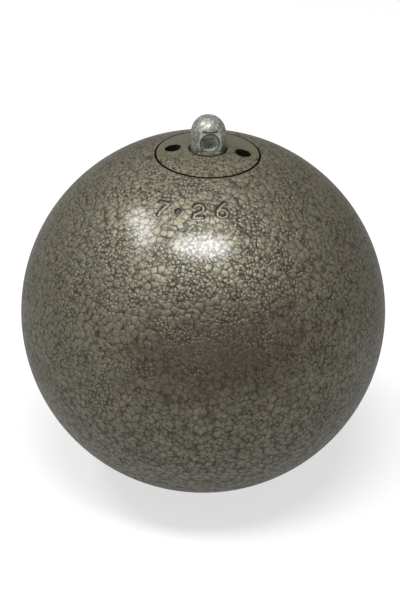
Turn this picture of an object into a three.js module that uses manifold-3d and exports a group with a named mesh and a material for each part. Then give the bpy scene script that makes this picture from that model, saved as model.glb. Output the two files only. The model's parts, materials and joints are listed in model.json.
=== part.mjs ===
// Head of a throwing hammer with a ball-bearing swivel.
// A cast ball is bored from the top. A flush bearing cap closes the bore and carries a thrust
// ball bearing, which holds a spindle that turns freely. The wire goes through the spindle's eye.
// Millimetres. +Z points up along the spindle, and the origin is the ball's centre.

import * as THREE from 'three';
import { mergeVertices } from 'three/addons/utils/BufferGeometryUtils.js';
import Module from 'manifold-3d';

const wasm = await Module();
wasm.setup();

// Ball
const ballRadius = 62;
const capClearance = 0.4; // radial gap between the ball's counterbore and the cap
const reliefDepth = 0.5; // undercut at the foot of the counterbore
const reliefHeight = 2.5;
const pocketStep = 0.6; // how far the pocket below the cap is wider than the cap's recess
const tailClearance = 1.8; // from the spindle's tail down to the pocket's floor
const edgeBreak = 0.25; // chamfer on the counterbore and on the cap's rim

// Bearing cap
const skirtWall = 3.4;
const skirtDepth = 4.5; // from the recess ceiling down to the skirt's end
const spannerHoleRadius = 2.5;
const spannerHoleDepth = 5.5; // at the hole's wall, above its drill point
const spannerRimWall = 2.8; // metal between a spanner hole and the cap's rim
const spannerTurn = -13.6; // degrees about Z, from +X, that the pair of holes is turned
const drillPointSlope = 0.6; // rise over radius of a drill point
const boreClearance = 0.35; // radial gap between the cap's bore and the spindle

// Dust seal and guide bush in the cap
const sealCordRadius = 0.8;
const sealSpindleGap = 0.3;
const sealGrooveGap = 0.2;
const sealCover = 1.5; // metal above the seal's groove at the bore
const sealShelf = 1.2; // metal between the groove and the bush
const bushLength = 4;
const bushWall = 1.7;
const bushClearance = 0.3; // running gap on the spindle
const bushSeatClearance = 0.05;
const bushGrooveDepth = 0.5; // grease groove inside the bush
const bushGrooveWidth = 1.2;

// Thrust ball bearing
const bearingBallRadius = 2.5;
const grooveClearance = 0.12; // between a ball and its groove
const raceSpacing = 3.2; // between the faces of the two races
const raceThickness = 3.5;
const raceLand = 0.75; // flat rim beside the groove
const raceRunningGap = 0.75; // between the fixed race's bore and the spindle
const raceSeatClearance = 0.35; // between the fixed race and the cap's recess
const raceChamfer = 0.4;
const cageSideGap = 0.7; // from the cage to either race
const cageBoreGap = 0.6; // from the cage to the spindle
const cagePocketGap = 0.12; // from a ball to its pocket
const cagePocketWeb = 0.9; // least metal between two pockets
const cageChamfer = 0.3;

// Spindle
const neckRadius = 6;
const neckTaper = 0.24; // radius lost from the cap's surface to the shoulder under the dome
const domeStep = 0.26; // the shoulder stands out this far round the dome
const domeDrop = 0.5; // the dome's centre lies this far below the shoulder
const shoulderRound = 0.16;
const eyeRadius = 3;
const eyeFoot = 0.85; // from the cap's surface at the bore up to the eye
const eyeCrown = 4.9; // metal above the eye
const eyeMouthChamfer = 0.3;
const acrossFlats = 9; // thickness of the spindle between its milled flats
const flatBelowEye = 0.3;
const flatAboveEye = 1.4;
const tailStep = 1; // the tail is thinner than the neck by this radius
const tailSeatClearance = 0.1; // between the tail and what is pushed on it
const tailBeyondNut = 1.5;
const tailChamfer = 1;

// Washer, castle nut and split pin on the tail
const washerThickness = 2;
const washerWidth = 4.75; // from the washer's bore to its rim
const washerChamfer = 0.4;
const nutHeight = 11;
const nutWall = 3.5; // from the tail to a flat of the nut
const nutChamfer = 1.2;
const collarHeight = 4.6;
const collarWall = 2.7; // from the tail to the outside of the slotted collar
const collarChamfer = 0.4;
const slotDepth = 4;
const slotPairs = 3; // each cut makes two opposite slots
const pinHoleRadius = 1.4;
const pinClearance = 0.2; // between the pin and its hole
const pinLegGap = 0.08; // between the pin's two legs
const pinEyeRadius = 1.1;
const pinBendRadius = 2.2;
const pinLegLength = 2.4; // straight end of a leg beyond its bend
const pinStandoff = 0.3; // from the collar to the pin's eye or bends

// Gasket and ballast
const gasketThickness = 1;
const gasketInset = 0.1; // from the pocket's edge to the gasket's bore
const ballastRadius = 10;
const ballastLength = 19;
const ballastSink = 1; // the slug's top lies this far below the pocket's floor
const ballastClearance = 0.15;
const ballastChamfer = 0.8;

// Radii that follow, from the spindle outwards
const tailRadius = neckRadius - tailStep;
const domeRadius = neckRadius - neckTaper - domeStep;
const capBoreRadius = neckRadius + boreClearance;
const sealRadius = neckRadius + sealSpindleGap + sealCordRadius;
const sealGrooveRadius = sealRadius + sealCordRadius + sealGrooveGap;
const bushBore = neckRadius + bushClearance;
const bushRadius = bushBore + bushWall;
const upperRaceBore = neckRadius + raceRunningGap;
const pitchRadius = upperRaceBore + raceLand + bearingBallRadius;
const raceRadius = pitchRadius + bearingBallRadius + raceLand;
const recessRadius = raceRadius + raceSeatClearance;
const capRadius = recessRadius + skirtWall;
const counterboreRadius = capRadius + capClearance;
const pocketRadius = recessRadius + pocketStep;
const spannerPitchRadius = capRadius - spannerRimWall - spannerHoleRadius;
const ballastHoleRadius = ballastRadius + ballastClearance;

// Levels that follow, from the cap's surface down
const surfaceZ = (radius) => Math.sqrt(ballRadius ** 2 - radius ** 2);
const boreTopZ = surfaceZ(capBoreRadius);
const sealGrooveHeight = 2 * (sealCordRadius + sealGrooveGap);
const sealZ = boreTopZ - sealCover - sealGrooveHeight / 2;
const bushTopZ = sealZ - sealGrooveHeight / 2 - sealShelf;
const ceilingZ = bushTopZ - bushLength;
const bearingZ = ceilingZ - raceThickness - raceSpacing / 2; // the plane of the balls' centres
const lowerRaceTopZ = bearingZ - raceSpacing / 2;
const washerTopZ = lowerRaceTopZ - raceThickness;
const nutTopZ = washerTopZ - washerThickness;
const nutBottomZ = nutTopZ - nutHeight;
const pinZ = nutBottomZ + slotDepth / 2;
const tailEndZ = nutBottomZ - tailBeyondNut;
const pocketFloorZ = tailEndZ - tailClearance;
const ballastTopZ = pocketFloorZ - ballastSink;
const ballastFloorZ = ballastTopZ - ballastLength;
const skirtEndZ = ceilingZ - skirtDepth;
const ledgeZ = skirtEndZ - gasketThickness;

// Levels that follow, from the cap's surface up
const eyeZ = boreTopZ + eyeFoot + eyeRadius;
const domeTopZ = eyeZ + eyeRadius + eyeCrown;
const domeCentreZ = domeTopZ - domeRadius;
const shoulderZ = domeCentreZ + domeDrop;

const ballSegments = 56;
const turnedSegments = 36;
const smallSegments = 28;
const cutterReach = 2; // how far a cutter runs past the metal it leaves
const outward = new THREE.Vector3(0, 0, 1);

// Points of an arc in a (radius, height) profile, angles in radians from the radius direction.
function arc(centreRadius, centreHeight, radius, from, to, steps) {
  return Array.from({ length: steps + 1 }, (_, i) => {
    const angle = from + ((to - from) * i) / steps;
    return [centreRadius + radius * Math.cos(angle), centreHeight + radius * Math.sin(angle)];
  });
}

// A turned piece about Z. The profile runs outwards and up from the axis and back to it.
function turned(profile, segments = turnedSegments) {
  const points = profile.map(([radius, height]) => new THREE.Vector2(Math.max(radius, 0), height));
  return new THREE.LatheGeometry(points, segments).rotateX(Math.PI / 2);
}

// A turned ring about Z. Its profile runs anticlockwise and is closed here.
function turnedRing(profile, segments = turnedSegments) {
  return turned([...profile, profile[0]], segments);
}

// A ring of rectangular section with both outer edges and both bore edges broken.
function washerRing(boreRadius, outerRadius, height, chamfer, segments) {
  return turnedRing(
    [
      [boreRadius + chamfer, 0],
      [outerRadius - chamfer, 0],
      [outerRadius, chamfer],
      [outerRadius, height - chamfer],
      [outerRadius - chamfer, height],
      [boreRadius + chamfer, height],
      [boreRadius, height - chamfer],
      [boreRadius, chamfer],
    ],
    segments
  );
}

function rod(radius, length, segments = smallSegments) {
  return new THREE.CylinderGeometry(radius, radius, length, segments).rotateX(Math.PI / 2);
}

// The solid that a closed geometry bounds, for cutting and joining.
function solid(geometry) {
  const bare = geometry.clone();
  bare.deleteAttribute('normal');
  bare.deleteAttribute('uv');
  const merged = mergeVertices(bare);
  const corners = merged.index.array;
  const triangles = [];
  for (let i = 0; i < corners.length; i += 3) {
    const [a, b, c] = corners.slice(i, i + 3);
    if (a !== b && b !== c && c !== a) triangles.push(a, b, c);
  }
  return new wasm.Manifold(
    new wasm.Mesh({
      numProp: 3,
      vertProperties: new Float32Array(merged.attributes.position.array),
      triVerts: new Uint32Array(triangles),
    })
  );
}

function cut(geometry, cutters) {
  return cutters.reduce((body, cutter) => body.subtract(solid(cutter)), solid(geometry));
}

// The geometry of a solid that has been cut.
function surface(body) {
  const mesh = body.getMesh();
  const geometry = new THREE.BufferGeometry();
  geometry.setAttribute('position', new THREE.BufferAttribute(mesh.vertProperties, 3));
  geometry.setIndex(new THREE.BufferAttribute(mesh.triVerts, 1));
  geometry.computeVertexNormals();
  return geometry;
}

// The ball, with the cap's counterbore, the bearing pocket and the ballast hole below it.
function ballShellGeometry() {
  const edgeRadius = counterboreRadius + edgeBreak;
  const edgeAngle = Math.acos(edgeRadius / ballRadius);
  const reliefRadius = counterboreRadius + reliefDepth;
  return turned(
    [
      ...arc(0, 0, ballRadius, -Math.PI / 2, edgeAngle, 22),
      [counterboreRadius, surfaceZ(edgeRadius) - edgeBreak],
      [counterboreRadius, ledgeZ + reliefHeight],
      [reliefRadius, ledgeZ + reliefHeight - reliefDepth],
      [reliefRadius, ledgeZ],
      [pocketRadius, ledgeZ],
      [pocketRadius, pocketFloorZ],
      [ballastHoleRadius, pocketFloorZ],
      [ballastHoleRadius, ballastFloorZ],
      [0, ballastFloorZ],
    ],
    ballSegments
  );
}

// A blind hole's cutter, standing on its drill point, from the given depth up past the surface.
function drillCutter(radius, wallDepth) {
  return turned(
    [
      [0, -wallDepth - radius * drillPointSlope],
      [radius, -wallDepth],
      [radius, cutterReach],
      [0, cutterReach],
    ],
    smallSegments
  );
}

// The cap, flush with the ball, with the seal's groove, the bush's seat and the bearing's recess.
function bearingCapGeometry() {
  const rimRadius = capRadius - edgeBreak;
  const rimAngle = Math.acos(rimRadius / ballRadius);
  const boreAngle = Math.acos(capBoreRadius / ballRadius);
  const bushSeatRadius = bushRadius + bushSeatClearance;
  const blank = turnedRing([
    [recessRadius, skirtEndZ],
    [capRadius, skirtEndZ],
    [capRadius, surfaceZ(rimRadius) - edgeBreak],
    ...arc(0, 0, ballRadius, rimAngle, boreAngle, 5),
    [capBoreRadius, sealZ + sealGrooveHeight / 2],
    [sealGrooveRadius, sealZ + sealGrooveHeight / 2],
    [sealGrooveRadius, sealZ - sealGrooveHeight / 2],
    [capBoreRadius, sealZ - sealGrooveHeight / 2],
    [capBoreRadius, bushTopZ],
    [bushSeatRadius, bushTopZ],
    [bushSeatRadius, ceilingZ],
    [recessRadius, ceilingZ],
  ]);
  const holes = [0, Math.PI].map((side) => {
    const angle = side + THREE.MathUtils.degToRad(spannerTurn);
    return drillCutter(spannerHoleRadius, spannerHoleDepth).translate(
      spannerPitchRadius * Math.cos(angle),
      spannerPitchRadius * Math.sin(angle),
      surfaceZ(spannerPitchRadius)
    );
  });
  return surface(cut(blank, holes));
}

function guideBushGeometry() {
  const grooveLow = (bushLength - bushGrooveWidth) / 2;
  const grooveRadius = bushBore + bushGrooveDepth;
  return turnedRing(
    [
      [bushBore, 0],
      [bushRadius, 0],
      [bushRadius, bushLength],
      [bushBore, bushLength],
      [bushBore, grooveLow + bushGrooveWidth],
      [grooveRadius, grooveLow + bushGrooveWidth],
      [grooveRadius, grooveLow],
      [bushBore, grooveLow],
    ],
    smallSegments
  );
}

function dustSealGeometry() {
  const section = arc(sealRadius, 0, sealCordRadius, 0, 2 * Math.PI, 8).slice(0, -1);
  return turnedRing(section, smallSegments);
}

// A race lies on z = 0 with its groove facing down towards the balls, ballDrop below its face.
function raceGeometry(boreRadius) {
  const grooveRadius = bearingBallRadius + grooveClearance;
  const ballDrop = raceSpacing / 2;
  const lip = Math.asin(ballDrop / grooveRadius);
  return turnedRing([
    [boreRadius, 0],
    ...arc(pitchRadius, -ballDrop, grooveRadius, Math.PI - lip, lip, 6),
    [raceRadius, 0],
    [raceRadius, raceThickness - raceChamfer],
    [raceRadius - raceChamfer, raceThickness],
    [boreRadius + raceChamfer, raceThickness],
    [boreRadius, raceThickness - raceChamfer],
  ]);
}

// How many balls the pitch circle takes with at least the least web between their pockets.
function ballCount() {
  const pocketWidth = 2 * (bearingBallRadius + cagePocketGap);
  return Math.floor((2 * Math.PI * pitchRadius) / (pocketWidth + cagePocketWeb));
}

// Where ball number i of the ring lies, in the plane of the cage.
function ballPlace(i) {
  const angle = (2 * Math.PI * i) / ballCount();
  return new THREE.Vector3(pitchRadius * Math.cos(angle), pitchRadius * Math.sin(angle), 0);
}

function ballCageGeometry() {
  const thickness = raceSpacing - 2 * cageSideGap;
  const bore = neckRadius + cageBoreGap;
  const blank = washerRing(bore, raceRadius, thickness, cageChamfer, turnedSegments);
  const pockets = Array.from({ length: ballCount() }, (_, i) => {
    const { x, y } = ballPlace(i);
    return rod(bearingBallRadius + cagePocketGap, raceSpacing, 20).translate(x, y, 0);
  });
  return surface(cut(blank.translate(0, 0, -thickness / 2), pockets));
}

// The eye's cutter lies along Y, with a flared mouth at each milled flat.
function eyeCutter() {
  const flare = 0.05; // so that the cut runs out past the flat
  const mouthRadius = eyeRadius + eyeMouthChamfer + flare;
  const mouth = acrossFlats / 2 + flare;
  const throat = mouth - eyeMouthChamfer - flare;
  const profile = [
    [0, -mouth],
    [mouthRadius, -mouth],
    [eyeRadius, -throat],
    [eyeRadius, throat],
    [mouthRadius, mouth],
    [0, mouth],
  ];
  const points = profile.map(([radius, along]) => new THREE.Vector2(radius, along));
  return new THREE.LatheGeometry(points, smallSegments).translate(0, 0, eyeZ);
}

// What the milling cutter takes from one side of the spindle's head, up to a straight ledge.
function flatCutter(side) {
  const low = eyeZ - eyeRadius - flatBelowEye;
  const high = eyeZ + eyeRadius + flatAboveEye;
  const depth = neckRadius + cutterReach - acrossFlats / 2;
  const width = 2 * (neckRadius + cutterReach);
  const middle = side * (acrossFlats / 2 + depth / 2);
  return new THREE.BoxGeometry(width, depth, high - low).translate(0, middle, (low + high) / 2);
}

function spindleGeometry() {
  const shoulderRadius = neckRadius - neckTaper;
  const domeStart = Math.asin(domeDrop / domeRadius);
  const blank = turned([
    [0, tailEndZ],
    [tailRadius - tailChamfer, tailEndZ],
    [tailRadius, tailEndZ + tailChamfer],
    [tailRadius, lowerRaceTopZ],
    [neckRadius, lowerRaceTopZ],
    [neckRadius, boreTopZ],
    [shoulderRadius, shoulderZ - shoulderRound],
    [shoulderRadius - shoulderRound, shoulderZ],
    ...arc(0, domeCentreZ, domeRadius, domeStart, Math.PI / 2, 9),
  ]);
  const pinHole = new THREE.CylinderGeometry(pinHoleRadius, pinHoleRadius, 4 * tailRadius, 20);
  pinHole.rotateZ(Math.PI / 2).translate(0, 0, pinZ);
  return surface(cut(blank, [flatCutter(1), flatCutter(-1), eyeCutter(), pinHole]));
}

// The nut stands on z = 0 with its slotted collar down. Two of its flats face along X.
function castleNutGeometry() {
  const cornerRadius = (tailRadius + nutWall) / Math.cos(Math.PI / 6);
  const collarRadius = tailRadius + collarWall;
  const chamferHeight = nutChamfer * Math.tan(Math.PI / 6);
  const beyond = cornerRadius + cutterReach;
  const envelope = turned([
    [0, 0],
    [collarRadius - collarChamfer, 0],
    [collarRadius, collarChamfer],
    [collarRadius, collarHeight],
    [cornerRadius - nutChamfer, collarHeight],
    [cornerRadius, collarHeight + chamferHeight],
    [cornerRadius, nutHeight - chamferHeight],
    [cornerRadius - nutChamfer, nutHeight],
    [0, nutHeight],
  ]);
  const hexagon = new THREE.CylinderGeometry(cornerRadius, cornerRadius, nutHeight, 6);
  hexagon.rotateX(Math.PI / 2).translate(0, 0, nutHeight / 2);
  const bore = rod(tailRadius + tailSeatClearance, 3 * nutHeight);
  const slots = Array.from({ length: slotPairs }, (_, i) =>
    new THREE.BoxGeometry(2 * beyond, 2 * pinHoleRadius, 2 * slotDepth).rotateZ(
      (Math.PI * i) / slotPairs
    )
  );
  const body = solid(hexagon).intersect(solid(envelope)).subtract(solid(bore));
  return surface(slots.reduce((nut, slot) => nut.subtract(solid(slot)), body));
}

// A flat outline, made a space curve so that a section can be run along it.
class FlatCurve extends THREE.Curve {
  constructor(outline) {
    super();
    this.outline = outline;
  }

  getPoint(t, target = new THREE.Vector3()) {
    const point = this.outline.getPointAt(t);
    return target.set(point.x, point.y, 0);
  }
}

// The split pin is one half-round wire folded flat to flat: two legs, an eye at +X, and leg ends
// that are bent apart at -X. The outline is the wire's flat face.
function splitPinGeometry() {
  const reach = tailRadius + collarWall + pinStandoff;
  const half = pinLegGap / 2;
  const legEnd = half + pinBendRadius + pinLegLength;
  const eyeAngle = Math.PI / 4;
  const eyeX = reach + 2 * pinEyeRadius;
  const outline = new THREE.Path();
  outline.moveTo(-reach - pinBendRadius, legEnd);
  outline.lineTo(-reach - pinBendRadius, half + pinBendRadius);
  outline.absarc(-reach, half + pinBendRadius, pinBendRadius, Math.PI, 1.5 * Math.PI, false);
  outline.lineTo(reach, half);
  outline.absarc(eyeX, 0, pinEyeRadius, Math.PI - eyeAngle, eyeAngle - Math.PI, true);
  outline.lineTo(reach, -half);
  outline.lineTo(-reach, -half);
  outline.absarc(-reach, -half - pinBendRadius, pinBendRadius, Math.PI / 2, Math.PI, false);
  outline.lineTo(-reach - pinBendRadius, -legEnd);
  const wireRadius = pinHoleRadius - pinClearance - half;
  const section = new THREE.Shape();
  section.moveTo(-wireRadius, 0);
  section.absarc(0, 0, wireRadius, Math.PI, 0, true);
  return new THREE.ExtrudeGeometry(section, {
    extrudePath: new FlatCurve(outline),
    steps: 60,
    curveSegments: 2,
  });
}

const materials = {
  paint: new THREE.MeshStandardMaterial({ color: '#6d6a60', roughness: 0.38, metalness: 0.35 }),
  spindleSteel: new THREE.MeshStandardMaterial({ color: '#b4b9bb', roughness: 0.34, metalness: 1 }),
  bearingSteel: new THREE.MeshStandardMaterial({ color: '#c9ccce', roughness: 0.16, metalness: 1 }),
  bronze: new THREE.MeshStandardMaterial({ color: '#a9773f', roughness: 0.4, metalness: 1 }),
  rubber: new THREE.MeshStandardMaterial({ color: '#1b1b1c', roughness: 0.8, metalness: 0 }),
  lead: new THREE.MeshStandardMaterial({ color: '#5d6166', roughness: 0.65, metalness: 0.8 }),
};

// A named piece, lifted to its level on the axis.
function piece(name, geometry, material, level = 0) {
  const mesh = new THREE.Mesh(geometry, material);
  mesh.name = name;
  mesh.position.z = level;
  return mesh;
}

// What stays with the ball.
function fixedGroup() {
  const gasketBore = pocketRadius + gasketInset;
  const gasket = turnedRing([
    [gasketBore, 0],
    [capRadius, 0],
    [capRadius, gasketThickness],
    [gasketBore, gasketThickness],
  ]);
  const ballast = turned([
    [0, 0],
    [ballastRadius, 0],
    [ballastRadius, ballastLength - ballastChamfer],
    [ballastRadius - ballastChamfer, ballastLength],
    [0, ballastLength],
  ]);
  const upperRace = raceGeometry(upperRaceBore);
  return new THREE.Group().add(
    piece('ball_shell', ballShellGeometry(), materials.paint),
    piece('bearing_cap', bearingCapGeometry(), materials.paint),
    piece('cap_gasket', gasket, materials.rubber, ledgeZ),
    piece('guide_bush', guideBushGeometry(), materials.bronze, ceilingZ),
    piece('dust_seal', dustSealGeometry(), materials.rubber, sealZ),
    piece('upper_race', upperRace, materials.bearingSteel, ceilingZ - raceThickness),
    piece('ballast_plug', ballast, materials.lead, ballastFloorZ)
  );
}

// What turns with the spindle.
function swivelGroup() {
  const washerBore = tailRadius + tailSeatClearance;
  const washerRim = washerBore + washerWidth;
  const washer = washerRing(washerBore, washerRim, washerThickness, washerChamfer, smallSegments);
  const lowerRace = piece(
    'lower_race',
    raceGeometry(tailRadius + tailSeatClearance),
    materials.bearingSteel,
    lowerRaceTopZ
  );
  lowerRace.rotation.x = Math.PI;
  return new THREE.Group().add(
    piece('spindle', spindleGeometry(), materials.spindleSteel),
    lowerRace,
    piece('thrust_washer', washer, materials.spindleSteel, nutTopZ),
    piece('castle_nut', castleNutGeometry(), materials.spindleSteel, nutBottomZ),
    piece('split_pin', splitPinGeometry(), materials.spindleSteel, pinZ)
  );
}

// The cage and its balls, in the plane of the balls' centres. Each ball's roll axis is radial.
function cageGroup() {
  const group = new THREE.Group();
  group.position.z = bearingZ;
  group.add(piece('ball_cage', ballCageGeometry(), materials.bronze));
  for (let i = 0; i < ballCount(); i += 1) {
    const name = `bearing_ball_${String(i + 1).padStart(2, '0')}`;
    const ball = piece(
      name,
      new THREE.IcosahedronGeometry(bearingBallRadius, 2),
      materials.bearingSteel
    );
    ball.position.copy(ballPlace(i));
    ball.quaternion.setFromUnitVectors(outward, ballPlace(i).normalize());
    group.add(ball);
  }
  return group;
}

const hammerHead = new THREE.Group();
hammerHead.name = 'hammer_head';
hammerHead.add(fixedGroup(), swivelGroup(), cageGroup());

export default hammerHead;
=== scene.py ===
"""Looks for the head of a throwing hammer: a painted cast ball, its bearing cap and its swivel.

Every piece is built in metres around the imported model, which stays as it is. The ball, the cap and
the spindle are turned outlines, spun about Z, with their holes cut and their edges softened as
paint and wear leave them. Finishes are node graphs on object coordinates.
"""

from __future__ import annotations

import json
import logging
import math
import operator
from dataclasses import dataclass
from enum import Enum
from functools import reduce

import bmesh
import bpy
import numpy as np
from mathutils import Matrix, Quaternion, Vector


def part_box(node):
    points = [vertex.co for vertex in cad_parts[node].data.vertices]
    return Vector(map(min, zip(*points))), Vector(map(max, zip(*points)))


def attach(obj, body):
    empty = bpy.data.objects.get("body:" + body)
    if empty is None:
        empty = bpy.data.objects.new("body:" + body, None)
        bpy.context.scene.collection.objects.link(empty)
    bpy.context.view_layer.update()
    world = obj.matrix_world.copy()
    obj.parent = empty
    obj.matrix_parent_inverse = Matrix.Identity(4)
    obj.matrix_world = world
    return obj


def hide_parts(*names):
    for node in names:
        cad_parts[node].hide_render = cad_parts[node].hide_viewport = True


log = logging.getLogger("hammer_head")
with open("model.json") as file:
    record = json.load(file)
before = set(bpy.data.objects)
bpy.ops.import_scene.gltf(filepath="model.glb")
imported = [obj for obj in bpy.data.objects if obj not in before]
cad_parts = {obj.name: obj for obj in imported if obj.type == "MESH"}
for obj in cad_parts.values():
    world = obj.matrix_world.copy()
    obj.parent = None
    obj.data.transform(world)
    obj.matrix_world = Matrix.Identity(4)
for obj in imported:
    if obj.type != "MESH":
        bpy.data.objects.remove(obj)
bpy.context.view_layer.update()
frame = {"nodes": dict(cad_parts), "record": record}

MM = 0.001
FULL_TURN = 2 * math.pi
# attribute of the punched grooves: above 0 painted shade on the walls, below 0 painted light on the
# floors
PRESS_LAYER = "punch_press"
RING_SEGMENTS = 128
BEND_STEPS = 12  # lines in the arc of a figure
OUTSIDE = -10.0  # depth inside a stroke, in millimetres, of a point far from it
Colour = tuple[float, float, float]
Point = tuple[float, float, float]
FlatPoint = tuple[float, float]
Range = tuple[float, float]


class Surface:
    """A value of the shader graph that takes part in Python arithmetic."""

    def __init__(self, graph: Graph, socket: bpy.types.NodeSocket) -> None:
        """Wraps an output socket of a graph."""
        self.graph = graph
        self.socket = socket

    def __add__(self, other: Surface | float) -> Surface:
        """Adds."""
        return self.graph.math("ADD", self, other)

    def __radd__(self, other: float) -> Surface:
        """Adds a plain number on the left."""
        return self.graph.math("ADD", other, self)

    def __sub__(self, other: Surface | float) -> Surface:
        """Subtracts."""
        return self.graph.math("SUBTRACT", self, other)

    def __rsub__(self, other: float) -> Surface:
        """Subtracts from a plain number."""
        return self.graph.math("SUBTRACT", other, self)

    def __mul__(self, other: Surface | float) -> Surface:
        """Multiplies."""
        return self.graph.math("MULTIPLY", self, other)

    def __rmul__(self, other: float) -> Surface:
        """Multiplies by a plain number on the left."""
        return self.graph.math("MULTIPLY", other, self)


class Graph:
    """The node tree of one material, with coordinates in millimetres."""

    smear_grain = 6.0  # width in millimetres of the noise that frays the edge of a smear
    smear_fray = 1.6  # how strongly it does
    smear_edge: Range = (0.45, 1.15)  # where a smear starts to fade and ends, in shares of its reach

    def __init__(self, name: str) -> None:
        """Starts an empty material.

        Args:
            name: Name of the material.
        """
        self.material = bpy.data.materials.new(name)
        self.material.use_nodes = True
        self.tree = self.material.node_tree
        self.tree.nodes.clear()

    def node(
        self,
        kind: str,
        settings: dict[str, object] | None = None,
        values: dict[str | int, object] | None = None,
        output: str | int = 0,
    ) -> Surface:
        """Adds a node.

        Args:
            kind: Node type without its prefix, such as "TexNoise".
            settings: Properties of the node, set before its sockets.
            values: Numbers, colours or graph values, by a socket's name, identifier or position.
            output: Name, identifier or position of the output that is returned.

        Returns:
            The chosen output.
        """
        made = self.tree.nodes.new(f"ShaderNode{kind}")
        for key, value in (settings or {}).items():
            setattr(made, key, value)
        for key, value in (values or {}).items():
            socket = self._socket(made.inputs, key)
            if isinstance(value, Surface):
                self.tree.links.new(value.socket, socket)
            elif isinstance(value, tuple) and socket.type == "RGBA":
                socket.default_value = (*value, 1.0)
            else:
                socket.default_value = value
        return Surface(self, self._socket(made.outputs, output))

    @staticmethod
    def _socket(sockets: bpy.types.bpy_prop_collection, key: str | int) -> bpy.types.NodeSocket:
        """Finds a socket.

        Args:
            sockets: The node's inputs or its outputs.
            key: Position, identifier or name of the socket.

        Returns:
            The socket.
        """
        if isinstance(key, int):
            return sockets[key]
        by_identifier = [s for s in sockets if s.identifier == key]
        return by_identifier[0] if by_identifier else sockets[key]

    def math(self, operation: str, first: Surface | float, second: Surface | float = 0.0) -> Surface:
        """Adds a Math node on one or two values."""
        return self.node("Math", {"operation": operation}, {0: first, 1: second})

    def vector(self, operation: str, values: dict[str | int, object], output: str = "Vector") -> Surface:
        """Adds a Vector Math node."""
        return self.node("VectorMath", {"operation": operation}, values, output)

    def most(self, *values: Surface | float) -> Surface:
        """The greatest of some values."""
        return reduce(lambda a, b: self.math("MAXIMUM", a, b), values)

    def blend(self, share: Surface, low: Surface, high: Surface) -> Surface:
        """Goes from one value to another as the share goes from 0 to 1."""
        return low * (1.0 - share) + high * share

    def plus(self, parts: Range, share: Surface) -> Surface:
        """The first part, and as much of the second as the share says."""
        return parts[0] + parts[1] * share

    def mix(self, factor: Surface | float, low: object, high: object) -> Surface:
        """Mixes two colours."""
        values = {"Factor_Float": factor, "A_Color": low, "B_Color": high}
        return self.node("Mix", {"data_type": "RGBA"}, values, "Result_Color")

    def shade_colour(self, colour: Surface, amount: Surface | float) -> Surface:
        """Multiplies a colour by a value."""
        return self.vector("SCALE", {0: colour, "Scale": amount})

    def step(self, value: Surface, low: float, high: float, base: float = 0.0) -> Surface:
        """Rises smoothly from 0 to 1 as the value goes from low to high, both counted from base."""
        values = {0: value, "From Min": base + low, "From Max": base + high}
        return self.node("MapRange", {"interpolation_type": "SMOOTHSTEP"}, values)

    def point(self, shift: Point = (0.0, 0.0, 0.0), stretch: Point = (1.0, 1.0, 1.0)) -> Surface:
        """The surface point in millimetres, shifted, and scaled along each axis."""
        values = {"Location": shift, "Scale": tuple(factor / MM for factor in stretch)}
        return self.node("Mapping", values={0: self.node("TexCoord", output="Object"), **values})

    def axes(self, point: Surface) -> tuple[Surface, ...]:
        """The three coordinates of a point."""
        return tuple(self.node("SeparateXYZ", values={0: point}, output=axis) for axis in "XYZ")

    def reach(self, first: Surface, second: Surface) -> Surface:
        """Distance from the origin of a plane, by the coordinates in it."""
        return self.math("SQRT", first * first + second * second)

    def noise(self, point: Surface, size: float, detail: float = 2.0, output: int = 0) -> Surface:
        """Soft noise whose patches are about size millimetres wide."""
        values = {"Vector": point, "Scale": 1.0 / size, "Detail": detail}
        return self.node("TexNoise", values=values, output=output)

    def ripples(self, point: Surface, rows: tuple[Range, ...], detail: float) -> Surface:
        """Noise of several heights and sizes in millimetres, added up."""
        waves = (height * self.noise(point, size, detail) for height, size in rows)
        return reduce(operator.add, waves)

    def stir(self, point: Surface, size: float, reach: float) -> Surface:
        """Moves a point about by noise.

        Args:
            point: The point.
            size: Width of the noise's patches, in millimetres.
            reach: Twice the farthest that it moves each way, in millimetres.

        Returns:
            The moved point.
        """
        drift = self.noise(point, size, output=1)
        centred = self.vector("SUBTRACT", {0: drift, 1: (0.5,) * 3})
        moved = self.vector("SCALE", {0: centred, "Scale": reach})
        return self.vector("ADD", {0: point, 1: moved})

    def smear(self, centre: Point, reach: Point) -> Surface:
        """A patch about a point, with a soft and frayed edge.

        Args:
            centre: Its middle, in millimetres.
            reach: How far it reaches along each axis, in millimetres.

        Returns:
            1 inside the patch and 0 beyond it.
        """
        scale = tuple(1.0 / r for r in reach)
        shift = tuple(-c / r for c, r in zip(centre, reach))
        far = self.vector("LENGTH", {0: self.point(shift, scale)}, "Value")
        fray = self.smear_fray * (self.noise(self.point(), self.smear_grain, 3.0) - 0.5)
        return 1.0 - self.step(far + fray, *self.smear_edge)

    def relief(self, height: Surface) -> Surface:
        """A normal that follows a height in millimetres."""
        return self.node("Bump", values={"Height": height, "Distance": MM})

    def close(self, shader: Surface) -> bpy.types.Material:
        """Puts a shader out as the material's surface.

        Args:
            shader: The shader.

        Returns:
            The finished material.
        """
        end = self.tree.nodes.new("ShaderNodeOutputMaterial")
        self.tree.links.new(shader.socket, end.inputs["Surface"])
        return self.material

    def finish(self, values: dict[str, object]) -> bpy.types.Material:
        """Closes the graph with a Principled shader and returns the material."""
        return self.close(self.node("BsdfPrincipled", values=values))


class CellMeasure(Enum):
    """What is read of the pebbles: the Voronoi feature, its output, and whether in millimetres."""

    FROM_MIDDLE = ("F1", "Distance", False)
    FROM_EDGE = ("DISTANCE_TO_EDGE", "Distance", True)
    CHANCE = ("F1", "Color", False)


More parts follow.
